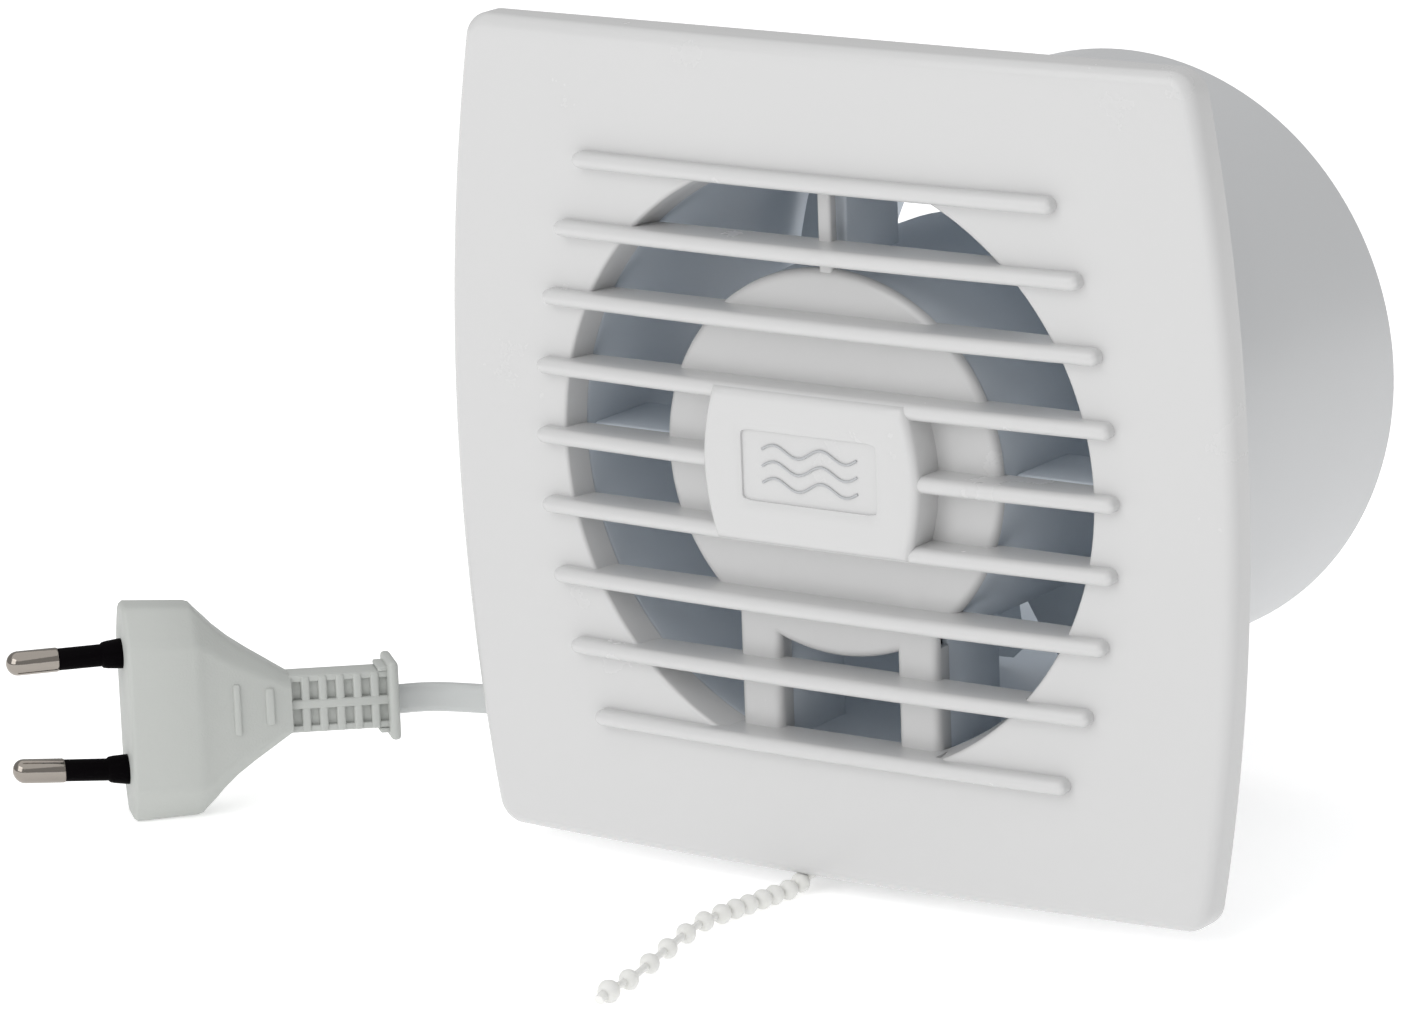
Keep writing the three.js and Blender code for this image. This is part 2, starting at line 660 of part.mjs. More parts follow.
function switchPlunger() {
  const headZ = SPRING_Z1 + 0.2;
  const head = box(SWITCH_X - 2, SWITCH_X + 1.9, CHAIN_Y - 1.2, CHAIN_Y + 1.1, headZ, PLUNGER_TOP_Z);
  const stem = rodZ(0.65, -61.1, SPRING_Z1 + 0.5, SWITCH_X, CHAIN_Y, 8);
  return build(head, [stem]);
}

function returnSpring() {
  const points = [];
  const turns = 4;
  const perTurn = 8;
  for (let i = 0; i <= turns * perTurn; i += 1) {
    const angle = (i / perTurn) * 2 * Math.PI;
    const z = SPRING_Z0 + 0.25 + (SPRING_Z1 - SPRING_Z0 - 0.5) * (i / (turns * perTurn));
    points.push(V(SWITCH_X + 1.1 * Math.cos(angle), CHAIN_Y + 1.1 * Math.sin(angle), z));
  }
  return tube(points, 0.22, turns * perTurn, 4);
}

function switchCam() {
  const teeth = 8;
  const shape = new THREE.Shape();
  for (let i = 0; i < teeth; i += 1) {
    const angle = (i / teeth) * 2 * Math.PI;
    const next = ((i + 1) / teeth) * 2 * Math.PI;
    const tip = [2.6 * Math.cos(angle), 2.6 * Math.sin(angle)];
    const rootPoint = [2.0 * Math.cos(next - 0.08), 2.0 * Math.sin(next - 0.08)];
    if (i === 0) {
      shape.moveTo(...tip);
    } else {
      shape.lineTo(...tip);
    }
    shape.lineTo(...rootPoint);
  }
  shape.closePath();
  const wheel = new THREE.ExtrudeGeometry(shape, { depth: 2, bevelEnabled: false });
  wheel.rotateX(Math.PI / 2);
  wheel.translate(-1.4, -2.4, -56.5);
  return build(wheel, [rodY(0.7, -4.8, -2.1, -1.4, -56.5, 8)]);
}

function addPullSwitch() {
  add('switch_case', switchCase(), 0xdcdcd6, 0.55);
  add('switch_lid', switchLid(), 0xdcdcd6, 0.55);
  add('switch_plunger', switchPlunger(), 0xf0f0ea, 0.5);
  add('return_spring', returnSpring(), STEEL, 0.3, 1);
  add('switch_cam', switchCam(), 0xd9c9a0, 0.5);
  add('moving_contact', box(1.8, 2.1, -4.5, -2.3, -61, -52), BRASS, 0.35, 1);
  add('fixed_contact', box(4.2, 4.6, -4.5, -2.3, -61, -52), BRASS, 0.35, 1);
  [['lower', CASE_Z0 + 2], ['upper', CASE_Z1 - 2]].forEach(([end, z]) => {
    const x = CASE_X0 + 2;
    const screw = build(rodY(1.3, -6.25, -5.95, x, z, 10), [rodY(0.6, -6.1, -1.7, x, z, 8)]);
    add(`switch_screw_${end}`, screw, STEEL, 0.3, 1);
  });
  const bush = build(
    box(SWITCH_X - 2.1, SWITCH_X + 2.1, -7.3, -1.2, -64.7, -63.2),
    [],
    [box(SWITCH_X - 1.75, SWITCH_X + 1.75, -7.15, -1.5, -70, -60)],
  );
  add('chain_guide', bush, 0xd8d8d2, 0.5);
}

// ---- chain -----------------------------------------------------------------------------------

function addChain() {
  const bendR = 6;
  const floorZ = FLOOR_Z + CHAIN_R;
  const points = [V(SWITCH_X, CHAIN_Y, floorZ + bendR - 0.3)];
  const bendSteps = 5;
  for (let i = 1; i <= bendSteps; i += 1) {
    const a = (Math.PI / 2) * (i / bendSteps);
    points.push(V(SWITCH_X, CHAIN_Y - bendR * (1 - Math.cos(a)), floorZ + bendR * (1 - Math.sin(a))));
  }
  const run = [[-7.2, -14], [-7.9, -19], [-8.8, -24], [-9.2, -30], [-8.2, -36.5], [-6.6, -43.5],
    [-4.9, -50.5], [-3.4, -57], [-2.8, -62.4]];
  run.forEach(([x, y]) => points.push(V(x, y, floorZ)));
  add('pull_chain', tube(points, CHAIN_R, 26, 8), 0xe6e7e2, 0.45);
  const end = new THREE.SphereGeometry(1.9, 8, 6);
  end.scale(1, 1.1, CHAIN_R / 1.9);
  end.translate(-2.6, -65, floorZ);
  add('chain_end_bead', withoutSlivers(end), 0xe6e7e2, 0.45);
}

// ---- leads and plug --------------------------------------------------------------------------

function addInnerWires() {
  const y = -1.55;
  const mains = [V(LEG_X, y, -51.4), V(LEG_X, y, -46), V(LEG_X, y, -34), V(LEG_X, y, -20),
    V(LEG_X - 1, y, -8), V(LEG_X - 4, y, 4), V(6.5, 0.4, 10), V(4.6, 4.5, 12.4), V(4, 8.2, 14.4)];
  add('mains_core', tube(mains, 0.7, 14, 5), 0x8a5a3a, 0.5);
  const switched = [V(-LEG_X, y, -54.4), V(-LEG_X, y, -46), V(-LEG_X, y, -34), V(-LEG_X, y, -20),
    V(-LEG_X + 1, y, -8), V(-LEG_X + 4, y, 4), V(-6.5, 0.4, 10), V(-4.6, 4.5, 12.4), V(-4, 8.2, 14.4)];
  add('switch_wire', tube(switched, 0.7, 14, 5), 0x4a6a9a, 0.5);
  for (const side of [-1, 1]) {
    const path = [V(side * 4, 9, 24.4), V(side * 5.5, 11, 26), V(side * 11, 16, 24), V(side * 17.4, 18, 18),
      V(side * 21, 19, 6), V(side * 21.5, 20, -6), V(side * 19.5, 21, -15), V(side * 14, 22.8, -19),
      V(side * 11, 23, -19.2)];
    add(`motor_lead_${side < 0 ? 'left' : 'right'}`, tube(path, 0.6, 14, 5), 0xeeeeee, 0.5);
  }
}

function addCordEntry() {
  const grommet = [[2.5, -3.4], [5.6, -3.4], [5.6, -2.5], [4.2, -2.5], [4.2, 0.3], [5.2, 0.5], [5.2, 1.8],
    [4.4, 2.4], [3.1, 16], [2.5, 16], [2.5, -3.4]];
  const body = turned(grommet, 12);
  body.translate(GROMMET.x, 0, GROMMET.z);
  add('cord_grommet', body, 0xdadcda, 0.6);
  const z = GROMMET.z + 7.9;
  const x0 = GROMMET.x + 8;
  const holes = [-4.2, 4.2].map((dx) => rodY(1.1, -9, 0, x0 + dx, z, 8));
  add('cord_clamp', build(box(x0 - 6, x0 + 6, -4.2, -2.5, z - 2, z + 2), [], holes), 0xe0e0da, 0.6);
  [['inner', -4.2], ['outer', 4.2]].forEach(([end, dx]) => {
    const screw = build(rodY(1.8, -5, -4.4, x0 + dx, z, 10), [rodY(0.8, -4.6, -2.4, x0 + dx, z, 8)]);
    add(`clamp_screw_${end}`, screw, STEEL, 0.3, 1);
  });
}

function addMainsLead() {
  const g = GROMMET;
  const c = COIL_CENTRE;
  const low = FLOOR_Z + CORD_R;
  const toCoil = [V(g.x, -1, g.z), V(g.x, 8, g.z), V(g.x, 17, g.z - 0.1), V(g.x, 23, g.z - 1.2),
    V(g.x, 28.3, g.z - 2.8)];
  add('mains_lead_fan', tube(toCoil, CORD_R, 9, 8), 0xe2e4e2, 0.5);
  const half = 4.4;
  const coilProfile = [[-half, -5.1], [half, -5.1], [half, 0], [half, 5], [-half, 5], [-half, -5.1]];
  const ring = turned(coilProfile.map(([r, z]) => [COIL_MEAN_R + r, z]), 28);
  ring.rotateX(Math.PI / 2);
  ring.translate(c.x, c.y, c.z);
  add('cord_coil', ring, 0xe2e4e2, 0.5);
  const end = PLUG_FRONT.clone().addScaledVector(PLUG_DIR, PLUG_LENGTH + 0.3);
  const near = end.clone().addScaledVector(PLUG_DIR, 10);
  const fromCoil = [V(c.x - 34, c.y + 3, low + 6), V(c.x - 36, c.y - 6, low + 7.5),
    V(c.x - 41.5, c.y - 14.5, low + 10), V(c.x - 51, c.y - 22.5, low + 13), near, end];
  add('mains_lead_plug', tube(fromCoil, CORD_R, 16, 8), 0xe2e4e2, 0.5);
}

// A flat two-pin plug standing on its narrow edge, pins pointing away from PLUG_DIR.
function plugPoint(along, across, up) {
  const side = V(-PLUG_DIR.y, PLUG_DIR.x, 0);
  const p = PLUG_FRONT.clone().addScaledVector(PLUG_DIR, along).addScaledVector(side, across);
  p.z += up;
  return p;
}

function plugRing(along, halfT, halfH, corner) {
  const ring = [];
  for (const [sx, sz] of [[1, 1], [-1, 1], [-1, -1], [1, -1]]) {
    const a = [sx * halfT, sz * (halfH - corner)];
    const b = [sx * (halfT - corner), sz * halfH];
    const pair = sx * sz > 0 ? [a, b] : [b, a];
    pair.forEach(([across, up]) => ring.push(plugPoint(along, across, up)));
  }
  return ring;
}

function addPlug() {
  const stations = [[0, PLUG_HALF_T - 0.6, PLUG_HALF_H - 0.6, 1.6], [0.8, PLUG_HALF_T, PLUG_HALF_H, 2],
    [9.2, PLUG_HALF_T, PLUG_HALF_H - 0.5, 2], [11.4, PLUG_HALF_T - 0.6, PLUG_HALF_H - 1.6, 2],
    [13, PLUG_HALF_T - 1, 14.8, 2], [16, 5.2, 11.5, 2], [20, 4.6, 8.4, 2], [24.5, 4.1, 6.2, 1.8],
    [29, 3.8, 4.6, 1.5], [41.5, 3.6, 4.5, 1.5], [41.8, 4.2, 6, 1.6],
    [PLUG_LENGTH - 0.4, 4.2, 6, 1.6], [PLUG_LENGTH, 3.8, 5.6, 1.4]];
  const body = loft(stations.map((s) => plugRing(...s)));
  const blocks = [];
  for (const up of [-1, 1]) {
    const rings = [];
    for (const along of [-1, 4]) {
      const ring = [];
      for (let i = 0; i < 10; i += 1) {
        const a = (i / 10) * 2 * Math.PI;
        ring.push(plugPoint(along, 2.4 * Math.cos(a), up * PIN_SPACING / 2 + 2.4 * Math.sin(a)));
      }
      rings.push(ring);
    }
    blocks.push(loft(rings));
  }
  add('plug_body', build(body, [], blocks), 0xd9dad8, 0.5);
  for (const up of [-1, 1]) {
    const name = up < 0 ? 'lower' : 'upper';
    const ringAt = (along, r) => {
      const ring = [];
      const z = up * (PIN_SPACING / 2 - Math.max(0, -along) * 0.03);
      for (let i = 0; i < 10; i += 1) {
        const a = (i / 10) * 2 * Math.PI;
        ring.push(plugPoint(along, r * Math.cos(a), z + r * Math.sin(a)));
      }
      return ring;
    };
    add(`pin_sleeve_${name}`, loft([ringAt(3.6, 2), ringAt(-10, 2)]), BLACK, 0.5);
    const pin = loft([ringAt(-10.3, 2), ringAt(-17.8, 2), ringAt(-18.7, 1.5), ringAt(-19, 0.7)]);
    add(`plug_pin_${name}`, pin, 0xc8c6c0, 0.25, 1);
  }
}

add('front_cover', frontCover(), WHITE, 0.3);
addHousing();
addMotor();
addImpeller();
addTerminalBlock();
addPullSwitch();
addChain();
addInnerWires();
addCordEntry();
addMainsLead();
addPlug();

export default root;
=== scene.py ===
import math
import bpy
import bmesh
import numpy as np
from mathutils import Matrix, Vector


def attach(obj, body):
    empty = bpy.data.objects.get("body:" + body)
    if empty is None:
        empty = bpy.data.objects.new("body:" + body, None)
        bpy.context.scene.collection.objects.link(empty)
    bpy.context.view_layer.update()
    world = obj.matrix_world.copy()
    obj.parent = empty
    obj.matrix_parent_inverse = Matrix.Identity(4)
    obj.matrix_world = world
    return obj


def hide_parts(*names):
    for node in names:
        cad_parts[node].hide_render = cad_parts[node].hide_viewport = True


# A bathroom extractor fan for a 100 mm duct, with its mains lead and pull chain. Lengths are in millimetres.

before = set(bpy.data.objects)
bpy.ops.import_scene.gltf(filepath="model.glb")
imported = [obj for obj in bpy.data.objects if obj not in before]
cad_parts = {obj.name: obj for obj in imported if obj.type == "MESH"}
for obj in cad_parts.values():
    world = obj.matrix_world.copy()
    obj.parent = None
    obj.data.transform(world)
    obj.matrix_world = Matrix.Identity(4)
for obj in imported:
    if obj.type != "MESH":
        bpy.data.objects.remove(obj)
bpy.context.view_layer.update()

MM = 0.001
# The surface that the plug, the lead and the pull chain lie on.
FLOOR_Z = -68.7
AXIS_SIDES = 160
UP = np.array([0.0, 0.0, 1.0])

# ---------------------------------------------------------------- camera

# The photograph's viewpoint. RIGHT, DOWN and FORWARD are the picture's directions in the fan's frame.
CAMERA_MM = (573.57, -866.03, 255.48)
RIGHT = (0.82610304, 0.56232458, -0.03667198)
DOWN = (0.10837688, -0.22240254, -0.96891257)
FORWARD = (-0.55299929, 0.79644722, -0.2446704)
LENS_MM, SENSOR_MM = 179.87, 36
cam_data = bpy.data.cameras.new("camera")
cam_data.lens = LENS_MM
cam_data.sensor_width = SENSOR_MM
cam_data.clip_start = 0.05
cam_data.clip_end = 50
camera = bpy.data.objects.new("camera", cam_data)
bpy.context.scene.collection.objects.link(camera)
columns = [Vector(RIGHT), -Vector(DOWN), -Vector(FORWARD)]
turn = Matrix([[c[i] for c in columns] for i in range(3)]).to_4x4()
camera.matrix_world = Matrix.Translation(Vector(CAMERA_MM) * MM) @ turn
bpy.context.scene.camera = camera

# ---------------------------------------------------------------- mesh helpers


def make(name, parts, materials, body, replaces=(), sharp=32):
    """One object from [(verts in mm, faces, material index), ...]."""
    verts, faces, index = [], [], []
    for points, polygons, which in parts:
        base = len(verts)
        verts.extend((float(p[0]) * MM, float(p[1]) * MM, float(p[2]) * MM) for p in points)
        faces.extend([tuple(base + i for i in f) for f in polygons])
        index.extend([which] * len(polygons))
    mesh = bpy.data.meshes.new(name)
    mesh.from_pydata(verts, [], faces)
    for m in materials:
        mesh.materials.append(m)
    mesh.polygons.foreach_set("material_index", index)
    bm = bmesh.new()
    bm.from_mesh(mesh)
    bmesh.ops.recalc_face_normals(bm, faces=bm.faces)
    bm.to_mesh(mesh)
    bm.free()
    mesh.polygons.foreach_set("use_smooth", [True] * len(mesh.polygons))
    mesh.set_sharp_from_angle(angle=math.radians(sharp))
    mesh.update()
    obj = bpy.data.objects.new(name, mesh)
    bpy.context.scene.collection.objects.link(obj)
    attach(obj, body)
    if replaces:
        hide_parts(*replaces)
    return obj


def rings(loops, caps=(True, True), wrap=False, which=0):
    """Faces through loops of the same number of points."""
    n = len(loops[0])
    points = [p for loop in loops for p in loop]
    faces = []
    pairs = len(loops) if wrap else len(loops) - 1
    for r in range(pairs):
        a, b = r * n, ((r + 1) % len(loops)) * n
        for i in range(n):
            j = (i + 1) % n
            faces.append((a + i, a + j, b + j, b + i))
    if caps[0] and not wrap:
        faces.append(tuple(range(n)))
    if caps[1] and not wrap:
        faces.append(tuple(reversed(range((len(loops) - 1) * n, len(loops) * n))))
    return points, faces, which


def lathe(profile, sides=AXIS_SIDES, x=0.0, z=0.0, which=0):
    """A profile of (radius, y) turned about an axis parallel to Y."""
    loops = []
    for radius, y in profile:
        loop = []
        for i in range(sides):
            a = 2 * math.pi * i / sides
            loop.append((x + radius * math.cos(a), y, z + radius * math.sin(a)))
        loops.append(loop)
    return rings(loops, (False, False), which=which)


def rounded(profile, radius, steps=5):
    """Rounds the corners of an open (radius, along) profile."""
    out = [profile[0]]
    for k in range(1, len(profile) - 1):
        p0, p1, p2 = (np.array(profile[k + d], float) for d in (-1, 0, 1))
        a, b = p0 - p1, p2 - p1
        la, lb = np.linalg.norm(a), np.linalg.norm(b)
        cut = min(radius, 0.45 * la, 0.45 * lb)
        s, e = p1 + a / la * cut, p1 + b / lb * cut
        for i in range(steps + 1):
            t = i / steps
            out.append(tuple((1 - t) ** 2 * s + 2 * t * (1 - t) * p1 + t ** 2 * e))
    out.append(profile[-1])
    return out


def block(lo, hi, bevel=0.4, segments=3, which=0):
    """A box with rounded edges."""
    bm = bmesh.new()
    bmesh.ops.create_cube(bm, size=1)
    size = [hi[i] - lo[i] for i in range(3)]
    mid = [(hi[i] + lo[i]) / 2 for i in range(3)]
    for v in bm.verts:
        v.co = Vector([mid[i] + v.co[i] * size[i] for i in range(3)])
    bmesh.ops.bevel(bm, geom=list(bm.edges), offset=bevel, segments=segments, profile=0.5,
                    affect="EDGES", clamp_overlap=True)
    bm.verts.ensure_lookup_table()
    points = [tuple(v.co) for v in bm.verts]
    faces = [tuple(v.index for v in f.verts) for f in bm.faces]
    bm.free()
    return points, faces, which


def smooth_path(points, per=10):
    """A Catmull-Rom curve through the points, with per steps between each two."""
    p = [np.array(q, float) for q in points]
    p = [2 * p[0] - p[1]] + p + [2 * p[-1] - p[-2]]
    out = []
    for k in range(1, len(p) - 2):
        for i in range(per):
            t = i / per
            a = 2 * p[k]
            b = p[k + 1] - p[k - 1]
            c = 2 * p[k - 1] - 5 * p[k] + 4 * p[k + 1] - p[k + 2]
            d = -p[k - 1] + 3 * p[k] - 3 * p[k + 1] + p[k + 2]
            out.append(0.5 * (a + b * t + c * t * t + d * t ** 3))
    out.append(p[-2])
    return np.array(out)


def distances(path):
    """How far along the path each of its points lies."""
    steps = np.linalg.norm(np.diff(path, axis=0), axis=1)
    return np.concatenate([[0], np.cumsum(steps)])


def resample(path, step):
    """Evenly spaced points on the path, and its length."""
    s = distances(path)
    n = max(2, int(round(s[-1] / step)))
    at = np.linspace(0, s[-1], n + 1)
    return np.column_stack([np.interp(at, s, path[:, i]) for i in range(3)]), s[-1]


def heading(path, k):
    """The path's direction at its point k."""
    t = path[min(k + 1, len(path) - 1)] - path[max(k - 1, 0)]
    return t / np.linalg.norm(t)


def upright(t):
    """The sideways and the lifting direction across the direction t."""
    side = np.cross(t, UP)
    side = side / np.linalg.norm(side)
    return side, np.cross(side, t)


def sweep(path, section):
    """A section of (across, up) points along a path, kept upright."""
    loops = []
    for k in range(len(path)):
        side, lift = upright(heading(path, k))
        loops.append([tuple(path[k] + side * a + lift * b) for a, b in section])
    return rings(loops)


def round_sweep(path, radius, which=0, sides=10):
    """A round section along a path, without twist."""
    loops = []
    normal = np.array([1.0, 0, 0])
    for k in range(len(path)):
        t = heading(path, k)
        normal = normal - t * np.dot(normal, t)
        normal = normal / np.linalg.norm(normal)
        other = np.cross(t, normal)
        loop = []
        for i in range(sides):
            a = 2 * math.pi * i / sides
            loop.append(tuple(path[k] + normal * radius * math.cos(a) + other * radius * math.sin(a)))
        loops.append(loop)
    return rings(loops, which=which)


def squared_oval(angle, half_across, half_up, across_power, up_power):
    """A point of an oval whose sides are flatter the smaller the powers are."""
    c, s = math.cos(angle), math.sin(angle)
    across = math.copysign(abs(c) ** across_power, c) * half_across
    return across, math.copysign(abs(s) ** up_power, s) * half_up


def quarter_turn(steps, first=0):
    """Angles from nothing to a right angle, in equal steps."""
    return [math.pi / 2 * i / steps for i in range(first, steps + 1)]


def mix(p, q, t):
    """The value a share t of the way from p to q."""
    return p + (q - p) * t


# ---------------------------------------------------------------- materials

DRIFT_SCALE, SMUDGE_SCALE = 14, 45
GRAIN_DEPTH = 0.0004
PLASTIC_IOR = 1.5
GLOSS_RISE = 1.25


def plastic(name, color, rough=0.3, vary=0.04, grain=900.0, bump=0.02, subsurface=0.0, shade=0.04,
            metal=0.0, spec=0.5):
    """Moulded plastic or metal: slight tone drift, fine surface texture and smudged gloss."""
    m = bpy.data.materials.new(name)
    m.use_nodes = True
    nodes, links = m.node_tree.nodes, m.node_tree.links
    shader = nodes["Principled BSDF"]
    coord = nodes.new("ShaderNodeTexCoord")

    def noise(scale, detail, roughness=0.5):
        node = nodes.new("ShaderNodeTexNoise")
        node.inputs["Scale"].default_value = scale
        node.inputs["Detail"].default_value = detail
        node.inputs["Roughness"].default_value = roughness
        links.new(coord.outputs["Object"], node.inputs["Vector"])
        return node.outputs["Fac"]

    # The tone drifts between the colour and a slightly darker one.
    ramp = nodes.new("ShaderNodeValToRGB")
    dark = [c * (1 - shade) for c in color]
    ramp.color_ramp.elements[0].position = 0.3
    ramp.color_ramp.elements[0].color = (*dark, 1)
    ramp.color_ramp.elements[1].position = 0.7
    ramp.color_ramp.elements[1].color = (*color, 1)
    links.new(noise(DRIFT_SCALE, 4), ramp.inputs["Fac"])
    links.new(ramp.outputs["Color"], shader.inputs["Base Color"])
    # Smudges change the gloss.
    gloss = nodes.new("ShaderNodeMapRange")
    gloss.inputs["From Min"].default_value = 0.3
    gloss.inputs["From Max"].default_value = 0.7
    gloss.inputs["To Min"].default_value = max(0.02, rough - vary)
    gloss.inputs["To Max"].default_value = rough + vary * GLOSS_RISE
    links.new(noise(SMUDGE_SCALE, 6, 0.6), gloss.inputs["Value"])
    links.new(gloss.outputs["Result"], shader.inputs["Roughness"])
    # The skin has a fine grain.
    relief = nodes.new("ShaderNodeBump")
    relief.inputs["Strength"].default_value = bump
    relief.inputs["Distance"].default_value = GRAIN_DEPTH
    links.new(noise(grain, 3), relief.inputs["Height"])
    links.new(relief.outputs["Normal"], shader.inputs["Normal"])
    shader.inputs["Metallic"].default_value = metal
    shader.inputs["IOR"].default_value = PLASTIC_IOR
    shader.inputs["Specular IOR Level"].default_value = spec
    if subsurface > 0:
        shader.inputs["Subsurface Weight"].default_value = subsurface
        shader.inputs["Subsurface Radius"].default_value = (0.004, 0.004, 0.0045)
        shader.inputs["Subsurface Scale"].default_value = 0.5
    return m


cover_white = plastic("cover_white", (0.57, 0.57, 0.57), 0.26, 0.015, 1100, 0.02, shade=0.02)
spigot_grey = plastic("spigot_grey", (0.55, 0.558, 0.567), 0.34, 0.02, 1100, 0.02)
# Painted shade: the faces inside the duct, the motor cup and the struts take a bluer, lighter copy of the
# housing plastic, tuned to the tone of the shaded interior.
duct_inside_painted_shade = plastic("duct_inside_painted_shade", (0.66, 0.71, 0.765), 0.45, 0.04, 900, 0.02, spec=0.2)
# Painted shade: the impeller takes a bluish tone like the duct's inside, tuned to its shaded look.
impeller_painted_shade = plastic("impeller_painted_shade", (0.62, 0.67, 0.72), 0.4, 0.04, 900, 0.02, spec=0.25)
plug_grey = plastic("plug_grey", (0.465, 0.48, 0.46), 0.5, 0.05, 2600, 0.12)
cord_grey = plastic("cord_grey", (0.52, 0.535, 0.53), 0.42, 0.05, 2200, 0.06)
chain_white = plastic("chain_white", (0.78, 0.78, 0.755), 0.4, 0.06, 1500, 0.04, subsurface=0.2)
pin_black = plastic("pin_black", (0.002, 0.0015, 0.002), 0.5, 0.05, 1800, 0.05, shade=0.2, spec=0.02)
# Painted reflection: the pins' nickel is darkened and warmed to stand in for the dark surroundings it
# reflects.
nickel = plastic("nickel", (0.33, 0.30, 0.27), 0.14, 0.06, 700, 0.05, metal=1.0, shade=0.12)
steel = plastic("steel", (0.60, 0.61, 0.63), 0.3, 0.08, 900, 0.06, metal=1.0, shade=0.15)
laminated = plastic("laminated", (0.30, 0.31, 0.32), 0.45, 0.1, 300, 0.2, metal=0.9, shade=0.25)
copper = plastic("copper", (0.60, 0.26, 0.12), 0.32, 0.08, 1600, 0.3, metal=0.9, shade=0.25)
brass = plastic("brass", (0.76, 0.57, 0.25), 0.28, 0.07, 900, 0.06, metal=1.0, shade=0.15)
ivory = plastic("ivory", (0.72, 0.70, 0.62), 0.5, 0.06, 1800, 0.08)
tan = plastic("tan", (0.62, 0.50, 0.32), 0.45, 0.06, 1600, 0.08)
wire_brown = plastic("wire_brown", (0.20, 0.08, 0.04), 0.42, 0.05, 1800, 0.06)
wire_blue = plastic("wire_blue", (0.06, 0.15, 0.40), 0.42, 0.05, 1800, 0.06)
wire_white = plastic("wire_white", (0.72, 0.72, 0.70), 0.42, 0.05, 1800, 0.06)

# Finishes of the hidden pieces, whose meshes stay as model.glb brings them.
CARRIED = {
    "stator_core": laminated, "rotor": laminated, "coil_bobbin": ivory, "coil_winding": copper,
    "motor_shaft": steel, "front_bracket": steel, "rear_bracket": steel, "front_bearing": brass,
    "rear_bearing": brass, "motor_screw_left": steel, "motor_screw_right": steel, "impeller_clip": steel,
    "terminal_block": ivory, "terminal_insert_left": brass, "terminal_insert_right": brass,
    "terminal_screw_left_lower": steel, "terminal_screw_left_upper": steel,
    "terminal_screw_right_lower": steel, "terminal_screw_right_upper": steel,
    "switch_case": ivory, "switch_lid": ivory, "switch_plunger": ivory, "return_spring": steel,
    "switch_cam": tan, "moving_contact": brass, "fixed_contact": brass,
    "switch_screw_lower": steel, "switch_screw_upper": steel, "chain_guide": ivory,
    "mains_core": wire_brown, "switch_wire": wire_blue, "motor_lead_left": wire_white,
    "motor_lead_right": wire_white, "cord_clamp": ivory, "clamp_screw_inner": steel,
    "clamp_screw_outer": steel,
}
for node, finish in CARRIED.items():
    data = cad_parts[node].data
    data.materials.clear()
    data.materials.append(finish)

# ---------------------------------------------------------------- mains lead

GROMMET_X, GROMMET_Z = 14.0, -57.5
COIL_X, COIL_Y, COIL_R = -13.0, 48.0, 27.0
CORD_W, CORD_T = 4.8, 2.9
PLUG_FRONT = np.array([-126.2, -23.6, FLOOR_Z + 18.1])
PLUG_DIR = np.array([0.682, 0.731, -0.036])
PLUG_DIR = PLUG_DIR / np.linalg.norm(PLUG_DIR)
PLUG_SIDE = np.array([-PLUG_DIR[1], PLUG_DIR[0], 0.0])
PLUG_LENGTH = 44.5

LOWER_Z = FLOOR_Z + CORD_W / 2 + 0.1
UPPER_Z = LOWER_Z + CORD_W + 0.15
TURN_PITCH = CORD_T + 0.15
# Where the coil starts and ends, in degrees round its middle.
COIL_FROM, COIL_TO = 5, 360 * 6 + 172
POINTS_PER_TURN = 24
LEAD_STEP = 1.6
ENTRY_TURNS, ENTRY_DROP = 0.22, 3.0
LAYER_TURNS, CLIMB_TURNS = 3, 0.3
INWARD_RATE, OUTWARD_RATE = 0.79, 0.72


def coil_spot(turns):
    """Radius and height after so many turns: the lower layer winds inwards, the upper one outwards."""
    rise = UPPER_Z - LOWER_Z
    climb_start, climb_end = LAYER_TURNS - CLIMB_TURNS, LAYER_TURNS + CLIMB_TURNS
    if turns < ENTRY_TURNS:
        left = ENTRY_DROP * (1 - turns / ENTRY_TURNS) ** 2
        return COIL_R + TURN_PITCH + left, LOWER_Z + left
    if turns < LAYER_TURNS:
        radius = COIL_R + TURN_PITCH - TURN_PITCH * min(2.0, (turns - ENTRY_TURNS) * INWARD_RATE)
        climbed = max(0.0, turns - climb_start) / CLIMB_TURNS
        return radius, LOWER_Z + rise * climbed ** 2 * 0.5
    if turns < climb_end:
        left = 1 - (turns - LAYER_TURNS) / CLIMB_TURNS
        return COIL_R - TURN_PITCH, (LOWER_Z + UPPER_Z) / 2 + rise / 2 * (1 - left ** 2)
    radius = COIL_R - TURN_PITCH + TURN_PITCH * min(2.0, (turns - climb_end) * OUTWARD_RATE)
    return radius, UPPER_Z


def lead_route():
    """Out of the grommet, round the coil behind the panel, and past the panel's edge to the plug."""
    route = [(14, 14.5, -57.5), (14, 20, -57.6), (14.3, 26, -58.6), (15.6, 31.5, -60.6), (17.6, 37, -62.8)]
    step = 360 / POINTS_PER_TURN
    for i in range(int((COIL_TO - COIL_FROM) / step) + 1):
        radius, z = coil_spot(i * step / 360)
        a = math.radians(COIL_FROM + i * step)
        route.append((COIL_X + radius * math.cos(a), COIL_Y + radius * math.sin(a), z))
    route += [(-48.0, 43.0, UPPER_Z + 0.8), (-53.5, 34.5, UPPER_Z + 2.5), (-62.5, 25.5, UPPER_Z + 6.4)]
    route.append(tuple(PLUG_FRONT + PLUG_DIR * (PLUG_LENGTH + 10) - UP * 1.0))
    route.append(tuple(PLUG_FRONT + PLUG_DIR * (PLUG_LENGTH - 1.5) - UP * 0.7))
    return route


GROOVE_DEPTH, GROOVE_WIDTH = 0.16, 0.55


